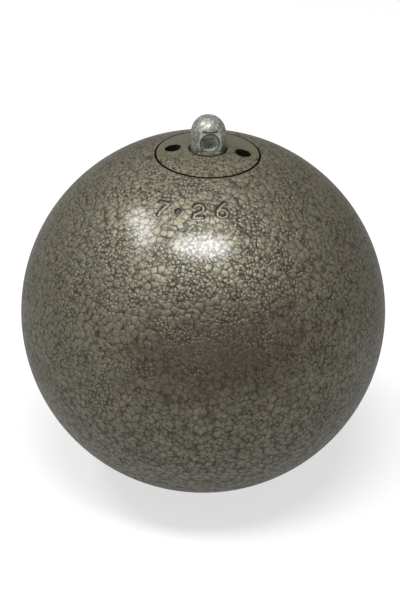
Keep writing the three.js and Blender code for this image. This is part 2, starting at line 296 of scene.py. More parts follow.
@dataclass(frozen=True)
class Pebbles:
    """The pebbles of an enamel, small in some patches and merged to larger ones in others.

    Lengths are in millimetres. More of them merge in the low part of the ball, and fewer in its
    calm patch.
    """

    small_cell: float = 1.15
    large_cell: float = 2.1
    stirs: tuple[Range, ...] = ((3.0, 1.4), (0.8, 0.5))  # size and reach of each
    merge_size: float = 9.0
    merge_step: Range = (0.42, 0.62)
    merge_low: float = 0.16
    merge_calm: float = 0.2
    steepness: float = 1.2
    mean: float = 0.72  # mean height of a pebble, as a share of its crown

    def lay_out(
        self, g: Graph, place: Surface, low: Surface, calm: Surface
    ) -> tuple[Surface, Surface]:
        """Lays out the cells.

        Args:
            g: The material's graph.
            place: The surface point.
            low: 1 in the low part of the ball.
            calm: 1 in the calm patch.

        Returns:
            The stirred point at which the cells are read, and the share of merged ones.
        """
        stirred = place
        for size, reach in self.stirs:
            stirred = g.stir(stirred, size, reach)
        merge = g.noise(place, self.merge_size, 3.0) + self.merge_low * low - self.merge_calm * calm
        return stirred, g.step(merge, *self.merge_step)

    def measure(self, g: Graph, stirred: Surface, merged: Surface, what: CellMeasure) -> Surface:
        """Measures the cells, with small and merged ones blended.

        Args:
            g: The material's graph.
            stirred: Where the cells are read.
            merged: Share of merged ones.
            what: What is read.

        Returns:
            The measure.
        """
        feature, output, in_millimetres = what.value
        found = []
        for size in (self.small_cell, self.large_cell):
            values = {"Vector": stirred, "Scale": 1.0 / size}
            cells = g.node("TexVoronoi", {"feature": feature}, values, output)
            found.append(cells * size if in_millimetres else cells)
        return g.blend(merged, *found)


@dataclass(frozen=True)
class HammerPaint:
    """Hammer-finish enamel: rounded pebbles of metallic paint, parted by thin broken veins.

    Lengths are in millimetres, and a range is where a mask starts and is full. What depends on the
    low part of the ball, where the paint ran thicker and painted shade and painted light are added,
    on the calm patch or on the patch of painted shade in front is a share that is added or taken off
    there. The pebbles carry painted shade, lighter at their crowns and darker towards their edges. A
    punched piece carries its groove walls and floors as an attribute, with painted shade on the walls
    and painted light on the floors.
    """

    name: str = "hammer_finish_enamel"
    pebbles: Pebbles = Pebbles()
    shift: Point = (0.0, 0.0, 0.0)
    olive: Colour = (0.140, 0.128, 0.082)
    green: Colour = (0.130, 0.134, 0.091)
    warm: Colour = (0.151, 0.127, 0.093)
    # painted shade: a broad darker, browner patch low in front of the ball, with its tint here
    shade_patch_tone: Colour = (0.130, 0.103, 0.070)
    vein: Colour = (0.024, 0.014, 0.007)
    calm_centre: Point = (-0.6, -59.0, 18.8)
    calm_reach: Point = (19.0, 14.0, 7.0)
    # centre and reach of the patch of painted shade
    shade_patch_centre: Point = (-2.5, -58.9, 19.0)
    shade_patch_reach: Point = (36.0, 28.0, 23.0)
    low_depths: Range = (-15.0, 35.0)  # below the ball's middle
    warm_size: float = 2.4
    warm_step: Range = (0.46, 0.62)
    green_shift: Point = (7.0, 3.0, 9.0)
    green_size: float = 2.8
    green_step: Range = (0.48, 0.64)
    break_size: float = 1.7
    break_step: Range = (0.38, 0.58)
    unbroken: float = 0.25  # strength of the veins where they break
    crease_width: Range = (0.0, 0.27)
    crease_corner: Range = (0.22, 0.56)
    crease_depth: float = 0.035
    vein_strength: float = 1.25
    calm_share: float = 0.55  # how much of pebbles and veins the calm patch takes off
    back_depths: Range = (-3.0, 7.0)  # where a smooth back starts and is full, along Y
    back_fray: Range = (6.0, 7.0)  # how far noise moves its edge, and that noise's size
    back_vein: float = 0.85
    back_pebble: float = 0.8
    brightness: float = 0.97
    # scales the painted shade on the pebbles along with random flakes and pebbles
    mottle: float = 1.2
    # the low part's stronger pebble shade and mottle, partly painted shade
    low_mottle_and_shade: float = 0.3
    # painted shade: pebbles lighter at their crowns and darker towards their edges
    pebble_painted_shade: float = 0.6
    flake_tone: float = 1.1
    flake_size: float = 0.7
    cloud_tone: float = 0.4
    cloud_size: float = 14.0
    chance_tone: float = 0.24
    # how much the patch of painted shade tints and darkens the paint
    shade_patch_share: float = 0.6
    shade_patch_dark: float = 0.34
    # painted light: the low part of the ball lighter
    low_painted_light: float = 0.05
    # painted shade: the veins darker in the low part
    low_painted_crease_shade: float = 0.25
    pebble_height: float = 0.46
    low_height: Range = (0.85, 0.75)  # share of that height, and what the low part adds
    ripples: tuple[Range, ...] = ((0.02, 0.8), (0.008, 0.32), (0.22, 8.0))  # height and size
    # painted light: how light the floors of punched grooves are
    punch_floor_painted_light: float = 1.5
    punch_flat: float = 0.8
    roughness: Range = (0.43, 0.16)  # its least, and what noise adds
    roughness_size: float = 2.0
    metallic: Range = (0.55, -0.50)  # of clean paint, and what dark adds
    coat: Range = (0.52, -0.15)
    coat_roughness: float = 0.18
    smooth_behind: bool = False
    punched: bool = False

    def tint(self, g: Graph, place: Surface, shade_patch: Surface) -> Surface:
        """The paint's colour, before light and dark.

        Args:
            g: The material's graph.
            place: The surface point.
            shade_patch: 1 in the patch of painted shade.

        Returns:
            The colour.
        """
        warm = g.step(g.noise(place, self.warm_size, 3.0), *self.warm_step)
        green = g.step(g.noise(g.point(self.green_shift), self.green_size, 3.0), *self.green_step)
        body = g.mix(green, g.mix(warm, self.olive, self.warm), self.green)
        # painted shade: the patch in front tinted browner
        return g.mix(self.shade_patch_share * shade_patch, body, self.shade_patch_tone)

    def tone(self, g: Graph, place: Surface, low: Surface, pebble: Surface, chance: Surface) -> Surface:
        """How light the paint is, with painted shade towards each pebble's edge and random tone.

        Args:
            g: The material's graph.
            place: The surface point.
            low: 1 in the low part of the ball.
            pebble: Height of the pebbles.
            chance: One random value for each pebble.

        Returns:
            A factor on the colour.
        """
        mottle = self.mottle * (1.0 + self.low_mottle_and_shade * low)
        flake = self.flake_tone * (g.noise(place, self.flake_size, 2.0) - 0.5)
        # painted shade: each pebble lighter at its crown and darker towards its edge
        tone = self.brightness + mottle * (self.pebble_painted_shade * (pebble - self.pebbles.mean) + flake)
        tone = tone + self.cloud_tone * (g.noise(place, self.cloud_size, 2.0) - 0.5)
        return tone + self.chance_tone * mottle * (chance - 0.5)

    def material(self) -> bpy.types.Material:
        """Builds the enamel.

        Returns:
            The material.
        """
        g = Graph(self.name)
        place = g.point(self.shift)
        _, depth, up = g.axes(g.point())
        low = g.step(0.0 - up, *self.low_depths)
        calm = g.smear(self.calm_centre, self.calm_reach)
        # painted shade: the broad darker patch low in front
        shade_patch = g.smear(self.shade_patch_centre, self.shade_patch_reach)
        mean = self.pebbles.mean
        cells = self.pebbles.lay_out(g, place, low, calm)
        away, edge, chance = (self.pebbles.measure(g, *cells, what) for what in CellMeasure)
        left = 1.0 - self.calm_share * calm
        pebble = 1.0 - self.pebbles.steepness * away * away * g.math("SQRT", away)
        pebble = mean + (pebble - mean) * left
        broken = g.step(g.noise(place, self.break_size, 3.0), *self.break_step)
        crease = (1.0 - g.step(edge, *self.crease_width)) * g.step(away, *self.crease_corner)
        vein = crease * (self.unbroken + (1.0 - self.unbroken) * broken) * left
        # painted shade: darker veins in the low part
        vein = vein * (1.0 + self.low_painted_crease_shade * low)
        if self.smooth_behind:
            reach, size = self.back_fray
            back = g.step(depth + reach * g.noise(place, size), *self.back_depths)
            vein = vein * (1.0 - self.back_vein * back)
            pebble = mean + (pebble - mean) * (1.0 - self.back_pebble * back)
        tone = self.tone(g, place, low, pebble, chance)
        # painted shade in the front patch, and painted light over the low part
        tone = tone * (1.0 - self.shade_patch_dark * shade_patch) * (1.0 + self.low_painted_light * low)
        dark = g.math("MINIMUM", vein * self.vein_strength, 1.0)
        height = self.pebble_height * pebble * g.plus(self.low_height, low)
        height = height - self.crease_depth * crease + g.ripples(place, self.ripples, 1.0)
        if self.punched:
            press = g.node("Attribute", {"attribute_name": PRESS_LAYER}, output="Fac")
            # painted shade darkens the groove walls, and painted light lightens their floors
            wall, floor = g.most(press, 0.0), g.most(0.0 - press, 0.0)
            dark = g.most(dark * (1.0 - floor), wall)
            tone = tone * (1.0 - floor) + self.punch_floor_painted_light * floor
            height = height * (1.0 - self.punch_flat * g.most(wall, floor))
        clean = g.shade_colour(self.tint(g, place, shade_patch), tone)
        return g.finish(
            {
                "Base Color": g.mix(dark, clean, self.vein),
                "Roughness": g.plus(self.roughness, g.noise(place, self.roughness_size)),
                "Metallic": g.plus(self.metallic, dark),
                "Normal": g.relief(height),
                "Coat Weight": g.plus(self.coat, dark),
                "Coat Roughness": self.coat_roughness,
            }
        )


@dataclass(frozen=True)
class WornZinc:
    """Weathered zinc plate: a dull grey film over the metal, scuffed bright, with painted shade in
    corners.

    Lengths are in millimetres. A range is where a mask starts and is full, counted from the flat,
    the eye's radius or the height that it belongs to. Painted shade lies round the eye's rims, with
    some grease, and painted shadow under the ledges of the flats, grime and painted shade lie at the
    foot, and the wall of the eye is painted pale as painted light inside it. The flats' warm tone
    holds a painted reflection of the olive ball.
    """

    name: str
    eye_height: float
    eye_radius: float
    half_flats: float
    flat_top: float
    foot: float
    zinc: Colour = (0.182, 0.187, 0.162)
    scuffed: Colour = (0.44, 0.447, 0.405)
    # the flats' own tone, warmed as a painted reflection of the olive ball and lightened as painted
    # light
    flat_tone_and_reflection: Colour = (0.54, 0.53, 0.44)
    # painted light: the eye's wall made pale as if lit inside
    bore_painted_light: Colour = (0.86, 0.95, 0.81)
    # colour of grime streaks, and of painted shade at the rims, ledges and foot
    dirt_and_shade: Colour = (0.022, 0.017, 0.012)
    # lifts the ring of painted shade towards the top of the eye, where shade falls inside it
    rim_lift: float = 0.12
    rim_edge: Range = (0.26, 0.40)
    rim_depths: Range = (-0.7, -0.35)
    # painted shade round the eye's rims, with some grease
    rim_shade_and_grease: float = 0.96
    bore_edge: Range = (0.03, 0.15)
    flat_depths: Range = (0.05, 0.22)
    flat_heights: Range = (-0.1, 0.1)
    flat_cover: Range = (0.7, 0.3)  # least share of the flats' tone and painted reflection, and what clouds add
    ledge_depths: Range = (-0.12, -0.04)
    ledge_start: Range = (-0.75, -0.35)
    ledge_end: Range = (0.02, 0.2)
    # painted shadow under the ledges of the flats
    ledge_painted_shadow: float = 0.92
    foot_heights: Range = (-0.1, 3.4)
    foot_grime_and_shade: Range = (0.6, 0.4)  # least share of grime and painted shade at the foot, and what streaks add
    cloud_size: float = 2.2
    speck_stir: Range = (1.2, 0.8)
    speck_size: float = 0.75
    streak_stretch: Point = (1.0, 1.0, 0.22)
    streak_size: float = 1.3
    streak_step: Range = (0.50, 0.66)
    streak_dirt: float = 0.4
    # the most that streaks and the foot's grime and painted shade darken
    most_stain_and_shade: float = 0.9
    scuff_clouds: float = 0.5
    scuff_step: Range = (0.46, 0.66)
    scuff_share: float = 0.8
    speck_height: float = 0.03
    roughness: Range = (0.38, 0.10)  # its least, and what clouds add
    bore_polish: float = 0.4
    metallic: Range = (0.42, 0.45)  # of the film, and what the bore adds
    # how much grime and painted shade take off the metallic
    stain_and_shade_dull: float = 0.95
    ripples: tuple[Range, ...] = ((0.035, 1.6), (0.022, 0.3))  # height and size of each

    def corners(self, g: Graph, across: Surface, depth: Surface, up: Surface) -> Surface:
        """Painted shade round the eye's rims, with some grease, and painted shadow under the ledges of
        the flats.

        Args:
            g: The material's graph.
            across: Distance from the eye's middle along the flats.
            depth: Distance from the plane midway between the flats.
            up: Height.

        Returns:
            The share of painted shade.
        """
        reach = g.reach(across, up - self.eye_height - self.rim_lift)
        rim = 1.0 - g.step(reach, *self.rim_edge, self.eye_radius)
        rim = rim * g.step(depth, *self.rim_depths, self.half_flats)
        ledge = g.step(up, *self.ledge_start, self.flat_top)
        ledge = ledge * (1.0 - g.step(up, *self.ledge_end, self.flat_top))
        ledge = ledge * g.step(depth, *self.ledge_depths, self.half_flats)
        return g.most(rim * self.rim_shade_and_grease, ledge * self.ledge_painted_shadow)

    def material(self) -> bpy.types.Material:
        """Builds the plate.

        Returns:
            The material.
        """
        g = Graph(self.name)
        place = g.point()
        across, depth, up = g.axes(place)
        depth = g.math("ABSOLUTE", depth)
        reach = g.reach(across, up - self.eye_height)
        bore = 1.0 - g.step(reach, *self.bore_edge, self.eye_radius)
        off_flat = g.math("ABSOLUTE", depth - self.half_flats)
        below = 1.0 - g.step(up, *self.flat_heights, self.flat_top)
        on_flat = (1.0 - g.step(off_flat, *self.flat_depths)) * below
        foot = 1.0 - g.step(up, *self.foot_heights, self.foot)
        cloud = g.noise(place, self.cloud_size, 4.0)
        speck = g.noise(g.stir(place, *self.speck_stir), self.speck_size, 3.0)
        streak = g.noise(g.point(stretch=self.streak_stretch), self.streak_size, 3.0)
        scuff = g.step(speck + self.scuff_clouds * (cloud - 0.5), *self.scuff_step)
        colour = g.mix(scuff * self.scuff_share, self.zinc, self.scuffed)
        # the flats' tone with its painted reflection of the ball
        colour = g.mix(on_flat * g.plus(self.flat_cover, cloud), colour, self.flat_tone_and_reflection)
        # painted light: the eye's wall made pale
        colour = g.mix(bore, colour, self.bore_painted_light)
        # grime streaks, grime and painted shade at the foot, and painted shade at the rims and ledges
        stain_and_shade = g.step(streak, *self.streak_step) * self.streak_dirt
        stain_and_shade = stain_and_shade + foot * g.plus(self.foot_grime_and_shade, streak)
        stain_and_shade = g.most(g.math("MINIMUM", stain_and_shade, self.most_stain_and_shade), self.corners(g, across, depth, up))
        return g.finish(
            {
                "Base Color": g.mix(stain_and_shade, colour, self.dirt_and_shade),
                "Roughness": g.plus(self.roughness, cloud) * (1.0 - self.bore_polish * bore),
                "Metallic": g.plus(self.metallic, bore) * (1.0 - self.stain_and_shade_dull * stain_and_shade),
                "Normal": g.relief(self.speck_height * speck + g.ripples(place, self.ripples, 2.0)),
            }
        )


@dataclass(frozen=True)
class PlainFinish:
    """A finish of one colour with soft mottling, for inner pieces and for the near black of painted
    shade in bores.

    Lengths are in millimetres.
    """

    name: str
    colour: Colour
    metallic: float
    roughness: float
    mottle: float = 0.25
    grain: float = 0.6
    gloss: float = 0.5
    tool_marks: float = 0.0
    grain_height: float = 0.01
    tool_pitch: float = 0.18
    cloud_grains: float = 4.0  # width of the mottling, in grains
    cloud_roughness: float = 0.15

    def material(self) -> bpy.types.Material:
        """Builds the finish.

        Returns:
            The material.
        """
        g = Graph(self.name)
        place = g.point()
        height = self.grain_height * g.noise(place, self.grain, 2.0)
        if self.tool_marks:
            across, depth, up = g.axes(place)
            turned = g.node("CombineXYZ", values={0: g.reach(across, depth), 1: up})
            height = height + self.tool_marks * g.noise(turned, self.tool_pitch, 1.0)
        cloud = g.noise(place, self.grain * self.cloud_grains, 3.0)
        base = g.node("RGB")
        base.socket.default_value = (*self.colour, 1.0)
        return g.finish(
            {
                "Base Color": g.shade_colour(base, 1.0 - self.mottle + 2 * self.mottle * cloud),
                "Roughness": self.roughness + self.cloud_roughness * (cloud - 0.5),
                "Metallic": self.metallic,
                "Normal": g.relief(height),
                "Specular IOR Level": self.gloss,
            }
        )


class Outline:
    """A turned piece's outline in the half plane of radius and height, drawn point by point."""

    corner_segments = 4
    weld = 1e-7  # distance in metres at which points are one

    def __init__(self) -> None:
        """Starts an empty outline."""
        self.bm = bmesh.new()
        self.points: list[bmesh.types.BMVert] = []
        self.rounded: dict[float, list[bmesh.types.BMVert]] = {}

    def to(self, radius: float, height: float, rounding: float = 0.0) -> Outline:
        """Draws a straight line to a point.

        Args:
            radius: Distance from the axis.
            height: Height along it.
            rounding: How far the rounding of this corner runs along both its lines.

        Returns:
            The outline itself.
        """
        point = self.bm.verts.new((max(radius, 0.0), 0.0, height))
        if self.points:
            self.bm.edges.new((self.points[-1], point))
        self.points.append(point)
        if rounding:
            self.rounded.setdefault(rounding, []).append(point)
        return self

    def arc(self, height: float, radius: float, angles: list[float], away: float = 0.0) -> Outline:
        """Draws points of a circle.

        Args:
            height: Height of the circle's centre.
            radius: Its radius.
            angles: Polar angles from the top, in radians.
            away: Distance of its centre from the axis.

        Returns:
            The outline itself.
        """
        for angle in angles:
            self.to(away + radius * math.sin(angle), height + radius * math.cos(angle))
        return self

    def spin(self, segments: int, closed: bool = False) -> bmesh.types.BMesh:
        """Rounds the marked corners and spins the outline about Z.

        Args:
            segments: Faces round the axis.
            closed: Joins the last point to the first, for a ring.

        Returns:
            The closed surface, with its faces outwards.
        """
        bm = self.bm
        if closed:
            bm.edges.new((self.points[-1], self.points[0]))
        for reach, corners in self.rounded.items():
            bmesh.ops.bevel(
                bm,
                geom=corners,
                offset=reach,
                offset_type="OFFSET",
                segments=self.corner_segments,
                profile=0.5,
                affect="VERTICES",
                material=-1,
            )
        bmesh.ops.spin(
            bm,
            geom=bm.verts[:] + bm.edges[:],
            cent=(0, 0, 0),
            axis=(0, 0, 1),
            dvec=(0, 0, 0),
            angle=FULL_TURN,
            steps=segments,
            use_merge=True,
            use_normal_flip=False,
            use_duplicate=False,
        )
        bmesh.ops.remove_doubles(bm, verts=bm.verts, dist=self.weld)
        bmesh.ops.recalc_face_normals(bm, faces=bm.faces)
        return bm


class CutKind(Enum):
    """What a cut leaves of a piece, by the Boolean's own name."""

    OUTSIDE_CUTTERS = "DIFFERENCE"
    INSIDE_CUTTERS = "INTERSECT"


def spread(start: float, stop: float, count: int) -> list[float]:
    """Count steps from start to stop, both ends included."""
    return [start + (stop - start) * i / count for i in range(count + 1)]


def eased(share: float | np.ndarray) -> float | np.ndarray:
    """Eases a share between 0 and 1 in and out."""
    return share * share * (3 - 2 * share)


def middle_of(node: str) -> Vector:
    """The middle of a CAD node's box."""
    low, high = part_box(node)
    return (low + high) / 2


def cylinder(radius: float, low: float, high: float, segments: int) -> bmesh.types.BMesh:
    """Spins a closed cylinder about Z between two heights."""
    return Outline().to(0, low).to(radius, low).to(radius, high).to(0, high).spin(segments)


def add_object(name: str, bm: bmesh.types.BMesh, *finishes: bpy.types.Material) -> bpy.types.Object:
    """Makes an object at the origin from a bmesh, and frees the bmesh.

    Args:
        name: Name of the object.
        bm: Its shape.
        finishes: Its materials, one for each slot.

    Returns:
        The object.
    """
    mesh = bpy.data.meshes.new(name)
    bm.to_mesh(mesh)
    bm.free()
    for finish in finishes:
        mesh.materials.append(finish)
    piece = bpy.data.objects.new(name, mesh)
    bpy.context.scene.collection.objects.link(piece)
    return piece


def cut(
    piece: bpy.types.Object,
    cutters: list[bpy.types.Object],
    kind: CutKind = CutKind.OUTSIDE_CUTTERS,
) -> bpy.types.Object:
    """Cuts a piece by closed shapes and removes the shapes.

    Args:
        piece: The piece.
        cutters: The closed shapes.
        kind: What is left of the piece.

    Returns:
        The piece, with a new mesh.
    """
    for cutter in cutters:
        modifier = piece.modifiers.new("cut", "BOOLEAN")
        modifier.operation = kind.value
        modifier.solver = "MANIFOLD"
        modifier.object = cutter
    graph = bpy.context.evaluated_depsgraph_get()
    mesh = bpy.data.meshes.new_from_object(piece.evaluated_get(graph))
    mesh.name = piece.name
    piece.modifiers.clear()
    piece.data = mesh
    for cutter in cutters:
        bpy.data.objects.remove(cutter)
    return piece


def mount(
    piece: bpy.types.Object, body: str, slot: str, *nodes: str, crease: float = 38.0
) -> bpy.types.Object:
    """Shades a finished piece, puts it on its body in place of its CAD nodes, and reports it.

    Args:
        piece: The piece.
        body: Body that it rides on.
        slot: Its material slot in the record; not used.
        nodes: CAD nodes that it replaces.
        crease: Angle in degrees above which an edge stays sharp.

    Returns:
        The piece.
    """
    piece.data.shade_smooth()
    piece.data.set_sharp_from_angle(angle=math.radians(crease))
    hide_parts(*nodes)
    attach(piece, body)
    log.info("%s: %d faces on %s", piece.name, len(piece.data.polygons), body)
    return piece


def ring(
    name: str, node: str, bore: float, rounding: float, finish: bpy.types.Material
) -> bpy.types.Object:
    """Turns a plain ring about Z with rounded edges, as high and as wide as its CAD node.

    Args:
        name: Name of the piece.
        node: The CAD node.
        bore: Radius of its bore.
        rounding: How far each rounded edge runs along both its faces.
        finish: Its material.

    Returns:
        The ring.
    """
    low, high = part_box(node)
    outline = Outline().to(bore, low.z, rounding).to(high.x, low.z, rounding)
    outline.to(high.x, high.z, rounding).to(bore, high.z, rounding)
    return add_object(name, outline.spin(RING_SEGMENTS, closed=True), finish)


@dataclass(frozen=True)
class HeadSizes:
    """Sizes of the head in metres, from the boxes of its CAD nodes."""

    ball_radius: float
    cap_radius: float
    bore_top: float
    skirt_end: float
    ceiling: float
    ledge: float
    neck_radius: float
    dome_top: float
    tail_end: float
    eye_height: float
    ballast_radius: float
    ballast_floor: float

    @classmethod
    def from_frame(cls) -> HeadSizes:
        """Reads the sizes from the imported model.

        Returns:
            The sizes.
        """
        cap_low, cap_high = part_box("bearing_cap")
        spindle_low, spindle_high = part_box("spindle")
        ballast_low, ballast_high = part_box("ballast_plug")
        mounts = {row["name"]: row for row in frame["record"]["mounts"]}
        return cls(
            ball_radius=-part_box("ball_shell")[0].z,
            cap_radius=cap_high.x,
            bore_top=cap_high.z,
            skirt_end=cap_low.z,
            ceiling=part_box("guide_bush")[0].z,
            ledge=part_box("cap_gasket")[0].z,
            neck_radius=spindle_high.x,
            dome_top=spindle_high.z,
            tail_end=spindle_low.z,
            eye_height=mounts["wire_eye"]["pos_m"][2],
            ballast_radius=ballast_high.x,
            ballast_floor=ballast_low.z,
        )

    def surface(self, radius: float) -> float:
        """Height of the ball's surface at a radius from the axis."""
        return math.sqrt(self.ball_radius**2 - radius**2)


@dataclass(frozen=True)
class Stroke:
    """One stroke of a punched figure, in millimetres from the figure's middle.

    A stroke is a line through its points, and its groove is as wide as twice the half width.
    A stroke marked deep has its floor painted dark as well, as painted shade in a deep punch.
    """

    points: tuple[FlatPoint, ...]
    half_width: float = 0.72
    # painted shade over the whole floor of a deep punch
    deep_shaded: bool = False

    def depth_inside(self, flat: np.ndarray) -> np.ndarray:
        """How far inside the stroke each point lies.

        Args:
            flat: Points in the figure's plane, in millimetres.

        Returns:
            One depth for each point, in millimetres, below zero outside.
        """
        inside = np.full(len(flat), OUTSIDE)
        for first, second in zip(self.points, self.points[1:]):
            start = np.array(first)
            line = np.array(second) - start
            share = np.clip((flat - start) @ line / (line @ line), 0, 1)
            gap = np.linalg.norm(flat - start - share[:, None] * line, axis=1)
            inside = np.maximum(inside, self.half_width - gap)
        return inside


def bend(centre: FlatPoint, radius: float, start: float, stop: float) -> tuple[FlatPoint, ...]:
    """Points of an arc in a figure, from one angle to the other, in degrees."""
    turns = [math.radians(a) for a in spread(start, stop, BEND_STEPS)]
    return tuple((centre[0] + radius * math.cos(a), centre[1] + radius * math.sin(a)) for a in turns)


class Figure(Enum):
    """Figures of the weight mark, each as the strokes of its punch."""

    SEVEN = (
        Stroke(((-1.75, 2.35), (1.35, 2.45)), 0.70),
        Stroke(((1.35, 2.45), (0.5, 0.4), (-0.15, -1.3), (-0.3, -2.4)), 0.78),
    )
    POINT = (Stroke(((0.0, 0.0), (0.02, 0.0)), 1.12, True),)
    TWO = (
        Stroke(bend((0.0, 1.15), 1.5, 160, -42) + ((-1.2, -1.2), (-1.5, -2.4))),
        Stroke(((-1.5, -2.45), (1.5, -2.2))),
    )
    SIX = (
        Stroke(((1.3, 2.9), (0.1, 1.9), (-1.2, 0.4), (-1.6, -0.9))),
        Stroke(bend((0.0, -1.0), 1.6, 175, 535)),
    )


@dataclass(frozen=True)
class Mark:
    """Where a figure is punched: azimuth about Z, polar angle from the top and lean, in degrees."""

    figure: Figure
    azimuth: float
    polar: float
    lean: float = 0.0

    def flatten(self, places: np.ndarray, radius: float) -> np.ndarray:
        """Lays places on the ball out in the figure's plane.

        Args:
            places: Points on the ball's surface, in metres.
            radius: Radius of the ball, in metres.

        Returns:
            How far each point is right of the figure's middle and above it, in millimetres.
        """
        turn, tilt, lean = (math.radians(a) for a in (self.azimuth, self.polar, self.lean))
        flat_out = math.sin(tilt)
        out = np.array([math.cos(turn) * flat_out, math.sin(turn) * flat_out, math.cos(tilt)])
        right = np.array([-math.sin(turn), math.cos(turn), 0.0])
        up = np.cross(out, right)
        across = math.cos(lean) * right + math.sin(lean) * up
        along = math.cos(lean) * up - math.sin(lean) * right
        local = (places - out * radius) / MM
        return np.stack([local @ across, local @ along], axis=1)


@dataclass
class CastBall:
    """The ball, bored from the top, with its weight punched into it below the cap.

    Lengths are in metres, apart from the groove's wall, rim and painted wall shade, which are in
    millimetres as the strokes are. Angles are in degrees.
    """

    sizes: HeadSizes
    paint: bpy.types.Material
    painted_shade: bpy.types.Material
    cap_gap: float = 0.4 * MM
    edge_rounding: float = 0.16 * MM
    relief_depth: float = 0.5 * MM
    relief_height: float = 2.5 * MM
    pocket_radius: float = 14.2 * MM
    tail_clearance: float = 1.8 * MM
    ballast_gap: float = 0.15 * MM
    segments: int = 240
    sphere_rows: int = 96
    band_rows: int = 17
    top_rows: int = 5
    mark_band: Range = (23.5, 36.5)
    mark_span: Range = (-134.0, -78.0)
    mark_skin: float = 0.2 * MM
    mark_cuts: int = 5
    groove_depth: float = 0.50 * MM
    groove_wall: float = 0.22
    rim_height: float = 0.06 * MM
    rim_place: float = 0.16
    rim_width: float = 0.15
    # place and width of the painted shade along the groove walls
    wall_shade_place: float = 0.03
    wall_shade_width: float = 0.22
    marks: tuple[Mark, ...] = (
        Mark(Figure.SEVEN, -124.7, 30.2, 2.0),
        Mark(Figure.POINT, -114.6, 30.0),
        Mark(Figure.TWO, -102.4, 29.1, 1.0),
        Mark(Figure.SIX, -88.2, 28.8),
    )

    def outline(self) -> Outline:
        """The ball's section: the sphere, the cap's counterbore, the pocket and the plug's hole.

        Returns:
            The outline.
        """
        s = self.sizes
        mouth = s.cap_radius + self.cap_gap
        edge = math.asin(mouth / s.ball_radius)
        band_start, band_stop = (math.radians(a) for a in self.mark_band)
        relief = mouth + self.relief_depth
        relief_top = s.ledge + self.relief_height
        floor = s.tail_end - self.tail_clearance
        hole = s.ballast_radius + self.ballast_gap
        outline = Outline()
        outline.arc(0, s.ball_radius, spread(math.pi, band_stop, self.sphere_rows))
        outline.arc(0, s.ball_radius, spread(band_stop, band_start, self.band_rows)[1:])
        outline.arc(0, s.ball_radius, spread(band_start, edge, self.top_rows)[1:-1])
        outline.to(mouth, s.surface(mouth), self.edge_rounding)
        outline.to(mouth, relief_top).to(relief, relief_top - self.relief_depth)
        outline.to(relief, s.ledge).to(self.pocket_radius, s.ledge)
        outline.to(self.pocket_radius, floor).to(hole, floor)
        return outline.to(hole, s.ballast_floor).to(0, s.ballast_floor)

    def build(self) -> bpy.types.Object:
        """Spins the ball, punches its weight mark and mounts it.

        Returns:
            The ball.
        """
        bm = self.outline().spin(self.segments)
        mouth = self.sizes.cap_radius + self.cap_gap + self.edge_rounding
        # faces inside the bore get the near black of painted shade
        for face in bm.faces:
            middle = face.calc_center_median()
            face.material_index = int(math.hypot(middle.x, middle.y) < mouth and middle.z > 0)
        self.punch(bm)
        ball = add_object("cast_ball", bm, self.paint, self.painted_shade)
        return mount(ball, "head", "hammertone_paint", "ball_shell")

    def refine(self, bm: bmesh.types.BMesh) -> list[bmesh.types.BMVert]:
        """Divides the ball's faces where its figures are punched.

        Args:
            bm: The spun ball.

        Returns:
            The vertices that this adds.
        """
        radius = self.sizes.ball_radius
        low, high = (math.cos(math.radians(a)) * radius for a in reversed(self.mark_band))
        start, stop = (math.radians(a) for a in self.mark_span)
        faces = []
        for face in bm.faces:
            middle = face.calc_center_median()
            turn = math.atan2(middle.y, middle.x)
            on_skin = middle.length > radius - self.mark_skin
            if low < middle.z < high and start < turn < stop and on_skin:
                faces.append(face)
        edges = list({edge for face in faces for edge in face.edges})
        made = bmesh.ops.subdivide_edges(bm, edges=edges, cuts=self.mark_cuts, use_grid_fill=True)
        added = {*made["geom_inner"], *made["geom_split"]}
        return [element for element in added if isinstance(element, bmesh.types.BMVert)]

    def punch(self, bm: bmesh.types.BMesh) -> None:
        """Presses the figures into the ball, and marks painted shade on walls above 0 and painted light
        on floors below.

        Args:
            bm: The spun ball.
        """
        layer = bm.verts.layers.float.new(PRESS_LAYER)
        verts = self.refine(bm)
        radius = self.sizes.ball_radius
        places = np.array([v.co for v in verts])
        outward = places / np.linalg.norm(places, axis=1)[:, None]
        inside, floor_shade = self.inside_strokes(outward * radius)
        fall = np.clip(inside / self.groove_wall, 0, 1)
        rim = self.rim_height * np.exp(-(((inside + self.rim_place) / self.rim_width) ** 2))
        lift = rim - self.groove_depth * eased(fall)
        # painted shade along the groove walls and over a deep punch's floor; painted light on other
        # floors
        dirt_and_shade = np.exp(-(((inside - self.wall_shade_place) / self.wall_shade_width) ** 2))
        wall = np.maximum(dirt_and_shade, floor_shade * fall)
        press = wall - (1 - wall) * np.clip(inside / self.groove_wall - 1, 0, 1)
        for vert, place, value in zip(verts, outward * (radius + lift)[:, None], press):
            vert.co = place
            vert[layer] = value

    def inside_strokes(self, places: np.ndarray) -> tuple[np.ndarray, np.ndarray]:
        """How far inside the nearest punched stroke each place on the ball lies.

        Args:
            places: Points on the ball's surface, in metres.

        Returns:
            One depth for each point, in millimetres, below zero outside the strokes, and 1 for
            each point in a stroke whose floor is painted dark as shade.
        """
        deepest = np.full(len(places), OUTSIDE)
        floor_shade = np.zeros(len(places))
        for mark in self.marks:
            flat = mark.flatten(places, self.sizes.ball_radius)
            for stroke in mark.figure.value:
                inside = stroke.depth_inside(flat)
                deepest = np.maximum(deepest, inside)
                floor_shade = np.maximum(floor_shade, stroke.deep_shaded * (inside > 0))
        return deepest, floor_shade


